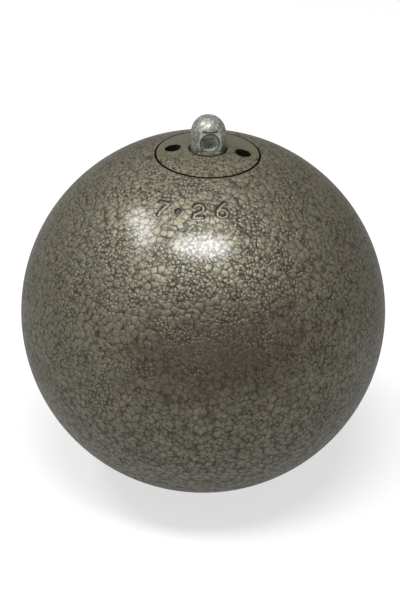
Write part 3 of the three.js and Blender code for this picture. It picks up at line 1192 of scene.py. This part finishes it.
@dataclass
class BearingCap:
    """The flush cap, with a pair of blind spanner holes and the spindle's bore."""

    sizes: HeadSizes
    paint: bpy.types.Material
    painted_shade: bpy.types.Material
    rim_rounding: float = 0.16 * MM
    bore_gap: float = 0.35 * MM
    bore_rounding: float = 0.15 * MM
    recess_radius: float = 13.6 * MM
    recess_rounding: float = 0.3 * MM
    skirt_inner_rounding: float = 0.2 * MM
    skirt_outer_rounding: float = 0.3 * MM
    seal_groove_radius: float = 8.1 * MM
    seal_cover: float = 1.5 * MM
    seal_groove_height: float = 2.0 * MM
    seal_shelf: float = 1.2 * MM
    bush_seat_radius: float = 8.05 * MM
    hole_radius: float = 2.5 * MM
    hole_depth: float = 5.5 * MM
    hole_pitch: float = 11.7 * MM
    hole_mouth: float = 0.15 * MM
    drill_slope: float = 0.6
    drill_reach: float = 3 * MM
    spanner_turn: float = -13.6
    shade_below: float = 0.03 * MM
    segments: int = 144
    top_rows: int = 14
    hole_segments: int = 48

    def outline(self) -> Outline:
        """The cap's section, from the recess round the skirt and over the top to the bore.

        Returns:
            The outline.
        """
        s = self.sizes
        bore = s.neck_radius + self.bore_gap
        rim_angle = math.asin(s.cap_radius / s.ball_radius)
        bore_angle = math.asin(bore / s.ball_radius)
        groove_top = s.bore_top - self.seal_cover
        groove_foot = groove_top - self.seal_groove_height
        bush_top = groove_foot - self.seal_shelf
        outline = Outline()
        outline.to(self.recess_radius, s.skirt_end, self.skirt_inner_rounding)
        outline.to(s.cap_radius, s.skirt_end, self.skirt_outer_rounding)
        outline.to(s.cap_radius, s.surface(s.cap_radius), self.rim_rounding)
        outline.arc(0, s.ball_radius, spread(rim_angle, bore_angle, self.top_rows)[1:-1])
        outline.to(bore, s.bore_top, self.bore_rounding)
        outline.to(bore, groove_top).to(self.seal_groove_radius, groove_top)
        outline.to(self.seal_groove_radius, groove_foot).to(bore, groove_foot)
        outline.to(bore, bush_top).to(self.bush_seat_radius, bush_top)
        outline.to(self.bush_seat_radius, s.ceiling)
        return outline.to(self.recess_radius, s.ceiling, self.recess_rounding)

    def spanner_hole(self, side: float) -> bpy.types.Object:
        """A cutter for one spanner hole, with a softened mouth and a drill point.

        Args:
            side: Azimuth of the hole, in radians.

        Returns:
            The closed cutter, standing in the cap.
        """
        top = self.sizes.surface(self.hole_pitch)
        foot = top - self.hole_depth
        mouth = self.hole_radius + 2 * self.hole_mouth
        outline = Outline().to(0, foot - self.hole_radius * self.drill_slope)
        outline.to(self.hole_radius, foot)
        outline.to(self.hole_radius, top - self.hole_mouth, self.hole_mouth)
        outline.to(mouth, top + self.hole_mouth)
        outline.to(mouth, top + self.drill_reach).to(0, top + self.drill_reach)
        bm = outline.spin(self.hole_segments)
        place = Vector((math.cos(side), math.sin(side), 0)) * self.hole_pitch
        bmesh.ops.translate(bm, verts=bm.verts, vec=place)
        return add_object("hole_cutter", bm)

    def build(self) -> bpy.types.Object:
        """Spins the cap, drills its spanner holes and mounts it.

        Returns:
            The cap.
        """
        bm = self.outline().spin(self.segments, closed=True)
        cap = add_object("flush_bearing_cap", bm, self.paint, self.painted_shade)
        turn = math.radians(self.spanner_turn)
        cut(cap, [self.spanner_hole(turn), self.spanner_hole(turn + math.pi)])
        # the spanner holes and the rim's edge get the near black of painted shade
        rim = self.sizes.cap_radius - self.rim_rounding
        for face in cap.data.polygons:
            sunk = face.center.length < self.sizes.ball_radius - self.shade_below
            face.material_index = int(sunk or math.hypot(face.center.x, face.center.y) > rim)
        return mount(cap, "head", "hammertone_paint", "bearing_cap")


@dataclass
class SwivelSpindle:
    """The spindle: a domed head with two milled flats and a cross hole, a neck and a tail."""

    sizes: HeadSizes
    neck_taper: float = 0.24 * MM
    neck_rounding: float = 0.2 * MM
    shoulder_rounding: float = 0.12 * MM
    dome_step: float = 0.12 * MM
    dome_drop: float = 0.5 * MM
    across_flats: float = 9.0 * MM
    flat_below_eye: float = 3.3 * MM
    flat_above_eye: float = 4.4 * MM
    flat_blend: float = 0.25 * MM
    ledge_slope: float = 0.12 * MM
    eye_radius: float = 3.0 * MM
    eye_lip: float = 0.14 * MM
    eye_beyond: float = 1.0 * MM
    lip_share: float = 0.98  # how much of a quarter turn each lip of the eye takes
    tail_radius: float = 5.0 * MM
    tail_rounding: float = 1.0 * MM
    pin_hole_radius: float = 1.4 * MM
    segments: int = 192
    neck_rows: int = 24
    ledge_rows: int = 4
    dome_rows: int = 30
    dome_ledge_rows: int = 6
    lip_rows: int = 8
    eye_segments: int = 96
    pin_segments: int = 32

    def finish(self) -> bpy.types.Material:
        """The spindle's plate, with painted shade at the eye's rims and under the ledges, and grime and
        painted shade at the foot.

        Returns:
            The material.
        """
        s = self.sizes
        return WornZinc(
            name="weathered_zinc_plate",
            eye_height=s.eye_height / MM,
            eye_radius=self.eye_radius / MM,
            half_flats=self.across_flats / 2 / MM,
            flat_top=(s.eye_height + self.flat_above_eye) / MM,
            foot=s.bore_top / MM,
        ).material()

    def outline(self) -> Outline:
        """The spindle's section, with close rows where the flats are milled.

        Returns:
            The outline.
        """
        s = self.sizes
        shoulder_radius = s.neck_radius - self.neck_taper
        dome_radius = shoulder_radius - self.dome_step
        dome_centre = s.dome_top - dome_radius
        shoulder = dome_centre + self.dome_drop
        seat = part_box("lower_race")[1].z
        low = s.eye_height - self.flat_below_eye
        high = s.eye_height + self.flat_above_eye
        step = self.ledge_slope
        rows = [s.bore_top, *spread(low - step, low + step, self.ledge_rows)]
        rows += [row for row in spread(low, shoulder, self.neck_rows)[1:-1] if row > rows[-1]]
        outline = Outline().to(0, s.tail_end).to(self.tail_radius, s.tail_end, self.tail_rounding)
        outline.to(self.tail_radius, seat).to(s.neck_radius, seat, self.neck_rounding)
        for row in rows:
            share = max(0.0, (row - s.bore_top) / (shoulder - s.bore_top))
            outline.to(s.neck_radius - self.neck_taper * share, row)
        outline.to(shoulder_radius, shoulder, self.shoulder_rounding)
        angles = spread(math.acos(self.dome_drop / dome_radius), 0.0, self.dome_rows)
        ledge = spread(high - step, high + step, self.dome_ledge_rows)
        angles += [math.acos((row - dome_centre) / dome_radius) for row in ledge]
        return outline.arc(dome_centre, dome_radius, sorted(angles, reverse=True))

    def mill(self, bm: bmesh.types.BMesh) -> None:
        """Presses the head's sides in to the two flats, with a small blend at their edges.

        Args:
            bm: The spun spindle.
        """
        low = self.sizes.eye_height - self.flat_below_eye
        high = self.sizes.eye_height + self.flat_above_eye
        half = self.across_flats / 2
        for vert in bm.verts:
            share = min(vert.co.z - low, high - vert.co.z) / self.ledge_slope
            share = max(0.0, min(1.0, 0.5 + 0.5 * share))
            depth = abs(vert.co.y)
            if share and depth > 0:
                gap = math.sqrt((depth - half) ** 2 + self.flat_blend**2)
                pressed = (depth + half - gap) / 2
                vert.co.y = math.copysign(depth + (pressed - depth) * eased(share), vert.co.y)

    @staticmethod
    def cutter(name: str, bm: bmesh.types.BMesh, axis: str, height: float) -> bpy.types.Object:
        """Lays an upright cutter down and lifts it to its height.

        Args:
            name: Name of the cutter.
            bm: Its shape, spun about Z.
            axis: The axis about which it is turned down, "X" or "Y".
            height: Height of its own axis then.

        Returns:
            The closed cutter.
        """
        bmesh.ops.rotate(bm, verts=bm.verts, matrix=Matrix.Rotation(math.pi / 2, 3, axis))
        bmesh.ops.translate(bm, verts=bm.verts, vec=(0, 0, height))
        bmesh.ops.recalc_face_normals(bm, faces=bm.faces)
        return add_object(name, bm)

    def eye_cutter(self) -> bpy.types.Object:
        """A cutter for the eye, along Y, with a trumpet mouth at each flat.

        Returns:
            The closed cutter.
        """
        mouth = self.across_flats / 2
        lip = self.eye_lip
        wide = self.eye_radius + lip
        end = mouth + self.eye_beyond
        outline = Outline().to(0, -end).to(wide, -end)
        for side in (-1, 1):
            for share in spread(self.lip_share, 0.0, self.lip_rows)[::-side]:
                turn = share * math.pi / 2
                outline.to(wide - lip * math.cos(turn), side * (mouth - lip + lip * math.sin(turn)))
        outline.to(wide, end).to(0, end)
        bm = outline.spin(self.eye_segments)
        return self.cutter("eye_cutter", bm, "X", self.sizes.eye_height)

    def pin_cutter(self) -> bpy.types.Object:
        """A cutter for the split pin's hole, along X through the tail.

        Returns:
            The closed cutter.
        """
        reach = 2 * self.tail_radius
        bm = cylinder(self.pin_hole_radius, -reach, reach, self.pin_segments)
        return self.cutter("pin_cutter", bm, "Y", middle_of("split_pin").z)

    def build(self) -> bpy.types.Object:
        """Spins the spindle, mills its flats, drills its holes and mounts it.

        Returns:
            The spindle.
        """
        bm = self.outline().spin(self.segments)
        self.mill(bm)
        bmesh.ops.recalc_face_normals(bm, faces=bm.faces)
        spindle = add_object("swivel_spindle", bm, self.finish())
        cut(spindle, [self.eye_cutter(), self.pin_cutter()])
        return mount(spindle, "swivel", "spindle_steel", "spindle")


class Facing(Enum):
    """Which way a race's groove opens, along Z."""

    UP = 1
    DOWN = -1


@dataclass
class ThrustBearing:
    """The thrust ball bearing: two grooved races, the balls between them and their cage."""

    steel: bpy.types.Material
    bronze: bpy.types.Material
    ball_count: int = 10
    ball_radius: float = 2.5 * MM
    groove_gap: float = 0.12 * MM
    upper_bore: float = 6.75 * MM
    lower_bore: float = 5.1 * MM
    cage_bore: float = 6.6 * MM
    race_rounding: float = 0.4 * MM
    cage_rounding: float = 0.3 * MM
    segments: int = 128
    groove_rows: int = 20
    pocket_segments: int = 48
    ball_divisions: int = 5

    def race(self, name: str, body: str, node: str, bore: float, facing: Facing) -> None:
        """Turns one race.

        Args:
            name: Name of the piece.
            body: Body that it rides on.
            node: CAD node that it replaces.
            bore: Radius of its bore.
            facing: Which way its groove opens.
        """
        low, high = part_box(node)
        middle = middle_of("bearing_ball_01")
        upwards = facing is Facing.UP
        face, back = (high.z, low.z) if upwards else (low.z, high.z)
        groove = self.ball_radius + self.groove_gap
        lip = facing.value * math.acos(abs(face - middle.z) / groove)
        bottom = math.pi if upwards else 0.0
        outline = Outline().to(bore, face)
        angles = spread(bottom + lip, bottom - lip, self.groove_rows)
        outline.arc(middle.z, groove, angles, middle.x)
        outline.to(high.x, face).to(high.x, back, self.race_rounding)
        outline.to(bore, back, self.race_rounding)
        piece = add_object(name, outline.spin(self.segments, closed=True), self.steel)
        mount(piece, body, "bearing_steel", node)

    def cage(self) -> None:
        """Turns the cage and bores its pockets."""
        low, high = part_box("ball_cage")
        piece = ring("bronze_ball_cage", "ball_cage", self.cage_bore, self.cage_rounding, self.bronze)
        radius = self.ball_radius + self.groove_gap
        pockets = []
        for number in range(1, self.ball_count + 1):
            bm = cylinder(radius, low.z - MM, high.z + MM, self.pocket_segments)
            middle = middle_of(f"bearing_ball_{number:02d}")
            bmesh.ops.translate(bm, verts=bm.verts, vec=(middle.x, middle.y, 0))
            pockets.append(add_object("pocket_cutter", bm))
        mount(cut(piece, pockets), "cage", "bronze", "ball_cage")

    def balls(self) -> None:
        """Makes the balls, each on its own body."""
        for number in range(1, self.ball_count + 1):
            node = f"bearing_ball_{number:02d}"
            bm = bmesh.new()
            bmesh.ops.create_icosphere(bm, subdivisions=self.ball_divisions, radius=self.ball_radius)
            bmesh.ops.translate(bm, verts=bm.verts, vec=middle_of(node))
            ball = add_object(f"polished_ball_{number:02d}", bm, self.steel)
            mount(ball, f"rolling_ball_{number:02d}", "bearing_steel", node)

    def build(self) -> None:
        """Builds the bearing."""
        self.race("fixed_race", "head", "upper_race", self.upper_bore, Facing.DOWN)
        self.race("turning_race", "swivel", "lower_race", self.lower_bore, Facing.UP)
        self.cage()
        self.balls()


@dataclass
class TailFasteners:
    """What holds the spindle in: a plain washer and a castle nut on its tail."""

    finish: bpy.types.Material
    bore: float = 5.1 * MM
    washer_rounding: float = 0.4 * MM
    nut_chamfer: float = 1.2 * MM
    nut_crease: float = 25.0
    nut_sides: int = 6
    collar_height: float = 4.6 * MM
    collar_radius: float = 7.7 * MM
    collar_rounding: float = 0.4 * MM
    slot_width: float = 2.8 * MM
    slot_depth: float = 4.0 * MM
    slot_pairs: int = 3
    segments: int = 96
    bore_segments: int = 64

    def washer(self) -> None:
        """Makes the washer."""
        piece = ring("plain_washer", "thrust_washer", self.bore, self.washer_rounding, self.finish)
        mount(piece, "swivel", "fastener_steel", "thrust_washer")

    def hexagon_bar(self, corner: float, low: float, high: float) -> bpy.types.Object:
        """The bar that the nut is made from, with room above and below.

        Args:
            corner: Radius of its corners.
            low: Height of the nut's lower face.
            high: Height of its upper face.

        Returns:
            The closed bar.
        """
        bm = bmesh.new()
        bmesh.ops.create_cone(
            bm,
            cap_ends=True,
            segments=self.nut_sides,
            radius1=corner,
            radius2=corner,
            depth=2 * (high - low),
        )
        bmesh.ops.translate(bm, verts=bm.verts, vec=(0, 0, low))
        return add_object("hexagon_bar", bm)

    def slot_cutter(self, number: int, corner: float, low: float) -> bpy.types.Object:
        """A cutter for a pair of slots, across the nut's lower face.

        Args:
            number: Number of the pair.
            corner: Radius of the nut's corners.
            low: Height of its lower face.

        Returns:
            The closed cutter.
        """
        bm = bmesh.new()
        bmesh.ops.create_cube(bm, size=1.0)
        bmesh.ops.scale(bm, verts=bm.verts, vec=(4 * corner, self.slot_width, 2 * self.slot_depth))
        turn = Matrix.Rotation(math.pi * number / self.slot_pairs, 3, "Z")
        bmesh.ops.rotate(bm, verts=bm.verts, matrix=turn)
        bmesh.ops.translate(bm, verts=bm.verts, vec=(0, 0, low))
        return add_object("slot_cutter", bm)

    def nut(self) -> None:
        """Makes the nut from a hexagon bar, chamfered, turned to a collar, bored and slotted."""
        low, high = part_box("castle_nut")
        half_side = math.pi / self.nut_sides
        corner = high.x / math.cos(half_side)
        chamfered = corner - self.nut_chamfer
        bevel = self.nut_chamfer * math.tan(half_side)
        collar = low.z + self.collar_height
        envelope = Outline().to(0, low.z).to(self.collar_radius, low.z, self.collar_rounding)
        envelope.to(self.collar_radius, collar).to(chamfered, collar)
        envelope.to(corner, collar + bevel).to(corner, high.z - bevel)
        envelope.to(chamfered, high.z).to(0, high.z)
        bore = cylinder(self.bore, low.z - MM, high.z + MM, self.bore_segments)
        cutters = [add_object("nut_bore", bore)]
        cutters += [self.slot_cutter(number, corner, low.z) for number in range(self.slot_pairs)]
        piece = add_object("slotted_nut", envelope.spin(self.segments), self.finish)
        cut(piece, [self.hexagon_bar(corner, low.z, high.z)], CutKind.INSIDE_CUTTERS)
        cut(piece, cutters)
        mount(piece, "swivel", "fastener_steel", "castle_nut", crease=self.nut_crease)

    def build(self) -> None:
        """Builds the washer and the nut."""
        self.washer()
        self.nut()


@dataclass
class CapFittings:
    """What the cap holds or rests on: guide bush, dust seal and gasket, and the ball's plug."""

    bronze: bpy.types.Material
    rubber: bpy.types.Material
    lead: bpy.types.Material
    bush_bore: float = 6.3 * MM
    bush_groove_depth: float = 0.5 * MM
    bush_groove_width: float = 1.2 * MM
    bush_rounding: float = 0.2 * MM
    gasket_bore: float = 14.3 * MM
    gasket_rounding: float = 0.15 * MM
    plug_rounding: float = 0.8 * MM
    plug_foot_rounding: float = 0.3 * MM
    segments: int = 96
    seal_rows: int = 32

    def bush(self) -> None:
        """Turns the bush, with a grease groove in its bore."""
        low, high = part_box("guide_bush")
        bore, edge = self.bush_bore, self.bush_rounding
        middle = middle_of("guide_bush").z
        half = self.bush_groove_width / 2
        deep, top, foot = bore + self.bush_groove_depth, middle + half, middle - half
        outline = Outline().to(bore, low.z, edge).to(high.x, low.z, edge)
        outline.to(high.x, high.z, edge).to(bore, high.z, edge)
        outline.to(bore, top).to(deep, top, edge).to(deep, foot, edge).to(bore, foot)
        piece = add_object("bronze_bush", outline.spin(self.segments, closed=True), self.bronze)
        mount(piece, "head", "bronze", "guide_bush")

    def seal(self) -> None:
        """Makes the round rubber ring."""
        low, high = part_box("dust_seal")
        radius = (high.z - low.z) / 2
        angles = spread(0, FULL_TURN, self.seal_rows)[:-1]
        outline = Outline().arc(low.z + radius, radius, angles, high.x - radius)
        piece = add_object("rubber_dust_ring", outline.spin(self.segments, closed=True), self.rubber)
        mount(piece, "head", "seal_rubber", "dust_seal")

    def gasket(self) -> None:
        """Makes the flat gasket under the cap."""
        piece = ring("flat_gasket", "cap_gasket", self.gasket_bore, self.gasket_rounding, self.rubber)
        mount(piece, "head", "seal_rubber", "cap_gasket")

    def plug(self) -> None:
        """Casts the lead plug."""
        low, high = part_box("ballast_plug")
        outline = Outline().to(0, low.z).to(high.x, low.z, self.plug_foot_rounding)
        outline.to(high.x, high.z, self.plug_rounding).to(0, high.z)
        piece = add_object("lead_plug", outline.spin(self.segments), self.lead)
        mount(piece, "head", "lead", "ballast_plug")

    def build(self) -> None:
        """Builds the fittings."""
        self.bush()
        self.seal()
        self.gasket()
        self.plug()


def direction(azimuth: float, elevation: float) -> Vector:
    """The direction from the ball at an azimuth from the front and an elevation, in degrees."""
    a, e = math.radians(azimuth), math.radians(elevation)
    return Vector((math.sin(a) * math.cos(e), -math.cos(a) * math.cos(e), math.sin(e)))


def facing_ball(back: Vector, roll: float) -> Quaternion:
    """The turn of a camera or lamp that looks at the ball.

    Args:
        back: The direction from the ball to it.
        roll: Its own turn about that direction, in degrees.

    Returns:
        The turn.
    """
    level = Vector((0, 0, 1)).cross(back).normalized()
    right = Matrix.Rotation(math.radians(roll), 3, back) @ level
    return Matrix((right, back.cross(right), back)).transposed().to_quaternion()


def place_in_scene(
    name: str, data: bpy.types.ID, location: Vector, turn: Quaternion
) -> bpy.types.Object:
    """Adds a camera or a lamp to the scene.

    Args:
        name: Name of the object.
        data: The camera or the lamp.
        location: Where it stands.
        turn: How it is turned.

    Returns:
        The object.
    """
    placed = bpy.data.objects.new(name, data)
    placed.rotation_mode = "QUATERNION"
    placed.rotation_quaternion = turn
    placed.location = location
    bpy.context.scene.collection.objects.link(placed)
    return placed


@dataclass(frozen=True)
class PhotoCamera:
    """The camera, from the ball's circle in the photograph.

    The ball's outline is a circle there. Its centre and radius are in pixels, the camera's
    distance is in ball radii, and its angles are in degrees.
    """

    frame_width: int = 400
    frame_height: int = 600
    circle: FlatPoint = (203.19, 310.65)
    circle_radius: float = 182.08
    distance: float = 12.0
    azimuth: float = -7.9
    elevation: float = 30.4
    roll: float = 1.65
    sensor: float = 36.0
    nearest: float = 0.01

    def build(self, ball_radius: float) -> bpy.types.Object:
        """Places the camera and makes it the scene's.

        Args:
            ball_radius: Radius of the ball in metres.

        Returns:
            The camera.
        """
        focal = self.circle_radius * math.sqrt(self.distance**2 - 1)
        offset_x = self.circle[0] - self.frame_width / 2
        offset_y = self.circle[1] - self.frame_height / 2
        seen = Vector((offset_x, -offset_y, -focal)).normalized()
        data = bpy.data.cameras.new("photo_camera")
        data.sensor_width = self.sensor
        data.lens = focal / self.frame_height * self.sensor
        data.clip_start = self.nearest
        back = direction(self.azimuth, self.elevation)
        turn = facing_ball(back, self.roll) @ seen.rotation_difference(Vector((0, 0, -1)))
        camera = place_in_scene("photo_camera", data, back * self.distance * ball_radius, turn)
        bpy.context.scene.camera = camera
        return camera


@dataclass(frozen=True)
class SoftBox:
    """An oval lamp that faces the ball.

    Its azimuth and elevation are those of the direction from the ball, in degrees, its distance
    and sides are in metres, and its long side is turned about that direction.
    """

    name: str
    azimuth: float
    elevation: float
    distance: float
    width: float
    height: float
    watts: float
    turn: float = 0.0

    def build(self) -> bpy.types.Object:
        """Places the lamp.

        Returns:
            The lamp.
        """
        data = bpy.data.lights.new(self.name, "AREA")
        data.shape = "ELLIPSE"
        data.size, data.size_y = self.width, self.height
        data.energy = self.watts
        back = direction(self.azimuth, self.elevation)
        return place_in_scene(self.name, data, back * self.distance, facing_ball(back, self.turn))


@dataclass
class Studio:
    """A pale floor, an even surround and three oval lamps.

    Lengths are in metres. Gloss sees the floor glow as a strip along X: faint in front of the
    ball, strongest under it and weaker behind, with the ranges along Y of its rise and fall.
    """

    floor_height: float
    floor_half: float = 6.0
    floor_colour: Colour = (0.86, 0.86, 0.86)
    floor_glow: float = 0.68
    white: Colour = (1.0, 1.0, 1.0)
    surround: float = 0.195
    gloss_level: float = 0.20
    front_gloss: float = 0.05
    near_gloss: float = 0.34
    back_gloss: float = 0.18
    gloss_glow: float = 0.85
    near_reach: Range = (-0.40, -0.12)
    back_reach: Range = (-0.06, 0.10)
    lamps: tuple[SoftBox, ...] = (
        SoftBox("key_box", -10.8, 69.1, 1.2, 0.68, 0.27, 16.6),
        SoftBox("side_box", -97.4, 55.8, 1.2, 0.62, 0.24, 6.1, 8.0),
        SoftBox("sky_box", -60.0, 68.0, 1.6, 2.0, 1.6, 5.5),
    )

    def floor_finish(self) -> bpy.types.Material:
        """The floor's paint, near white to the camera and to gloss, while it keeps its shadow.

        Returns:
            The material.
        """
        g = Graph("pale_floor")
        seen, gloss, through = (
            g.node("LightPath", output=f"Is {ray} Ray") for ray in ("Camera", "Glossy", "Transmission")
        )
        plain = g.node("BsdfDiffuse", values={"Color": self.floor_colour})
        behind = g.node("SeparateXYZ", values={0: g.node("TexCoord", output="Object")}, output="Y")
        rise = (self.near_gloss - self.front_gloss) * g.step(behind, *self.near_reach)
        fall = (self.near_gloss - self.back_gloss) * g.step(behind, *self.back_reach)
        shine = (self.front_gloss + rise - fall) * (1.0 - seen) + seen
        glow = g.node("Emission", values={"Color": self.white, "Strength": shine})
        share = g.most(seen * self.floor_glow, g.most(gloss, through) * self.gloss_glow)
        return g.close(g.node("MixShader", values={0: share, 1: plain, 2: glow}))

    def floor(self) -> bpy.types.Object:
        """Lays the floor.

        Returns:
            The floor.
        """
        bm = bmesh.new()
        bmesh.ops.create_grid(bm, x_segments=1, y_segments=1, size=self.floor_half)
        bmesh.ops.translate(bm, verts=bm.verts, vec=(0, 0, self.floor_height))
        floor = add_object("studio_floor", bm, self.floor_finish())
        return floor

    def world(self) -> None:
        """An even surround: white to the camera, and softer to gloss and as light."""
        world = bpy.data.worlds.new("studio_surround")
        world.use_nodes = True
        tree = world.node_tree
        path = tree.nodes.new("ShaderNodeLightPath")
        background = tree.nodes["Background"]
        background.inputs["Color"].default_value = (*self.white, 1.0)
        strengths = {
            "Is Glossy Ray": self.gloss_level,
            "Is Transmission Ray": self.gloss_level,
            "Is Camera Ray": 1.0,
        }
        level = None
        for ray, strength in strengths.items():
            choice = tree.nodes.new("ShaderNodeMix")
            choice.inputs["A"].default_value = self.surround
            choice.inputs["B"].default_value = strength
            tree.links.new(path.outputs[ray], choice.inputs["Factor"])
            if level:
                tree.links.new(level, choice.inputs["A"])
            level = choice.outputs["Result"]
        tree.links.new(level, background.inputs["Strength"])
        bpy.context.scene.world = world

    def build(self) -> None:
        """Sets up the studio."""
        self.floor()
        self.world()
        for lamp in self.lamps:
            lamp.build()
        bpy.context.scene.view_settings.view_transform = "Standard"


CAP_ENAMEL = HammerPaint(
    name="cap_enamel",
    pebbles=Pebbles(small_cell=1.1, large_cell=1.7),
    shift=(41.0, 17.0, 5.0),
    olive=(0.152, 0.142, 0.088),
    green=(0.146, 0.147, 0.093),
    warm=(0.154, 0.140, 0.090),
    unbroken=0.2,
    mottle=0.65,
    smooth_behind=True,
)
# painted shade: a near black for the ball's bore, the spanner holes and the gaps at the cap
PAINTED_SHADE_FINISH = PlainFinish("dark_bore", (0.008, 0.007, 0.006), 0.0, 0.85, gloss=0.05)
FASTENER_STEEL = PlainFinish("bright_fastener_steel", (0.58, 0.58, 0.55), 1.0, 0.32, tool_marks=0.006)
BEARING_STEEL = PlainFinish("polished_bearing_steel", (0.72, 0.73, 0.75), 1.0, 0.14, 0.05)
BRONZE = PlainFinish("machined_bronze", (0.58, 0.36, 0.15), 1.0, 0.34, tool_marks=0.010)
RUBBER = PlainFinish("seal_rubber", (0.035, 0.035, 0.037), 0.0, 0.7)
LEAD = PlainFinish("dull_lead", (0.30, 0.31, 0.33), 0.8, 0.6, grain=2.0)


def dress_split_pin(finish: bpy.types.Material) -> None:
    """Gives the split pin, which stays as the CAD has it, its finish.

    Args:
        finish: The finish.
    """
    pin = frame["nodes"]["split_pin"]
    pin.data.materials.clear()
    pin.data.materials.append(finish)
    log.info("%s: dressed in %s", pin.name, finish.name)


def main() -> None:
    """Builds the studio and the head."""
    sizes = HeadSizes.from_frame()
    PhotoCamera().build(sizes.ball_radius)
    Studio(-sizes.ball_radius).build()
    # near black of painted shade for the bore, the spanner holes and the cap's edge
    painted_shade = PAINTED_SHADE_FINISH.material()
    CastBall(sizes, HammerPaint(punched=True).material(), painted_shade).build()
    BearingCap(sizes, CAP_ENAMEL.material(), painted_shade).build()
    SwivelSpindle(sizes).build()
    zinc, steel, bronze = FASTENER_STEEL.material(), BEARING_STEEL.material(), BRONZE.material()
    ThrustBearing(steel, bronze).build()
    TailFasteners(zinc).build()
    CapFittings(bronze, RUBBER.material(), LEAD.material()).build()
    dress_split_pin(zinc)


if __name__ == "__main__":
    logging.basicConfig(level=logging.INFO, format="%(message)s")
    main()
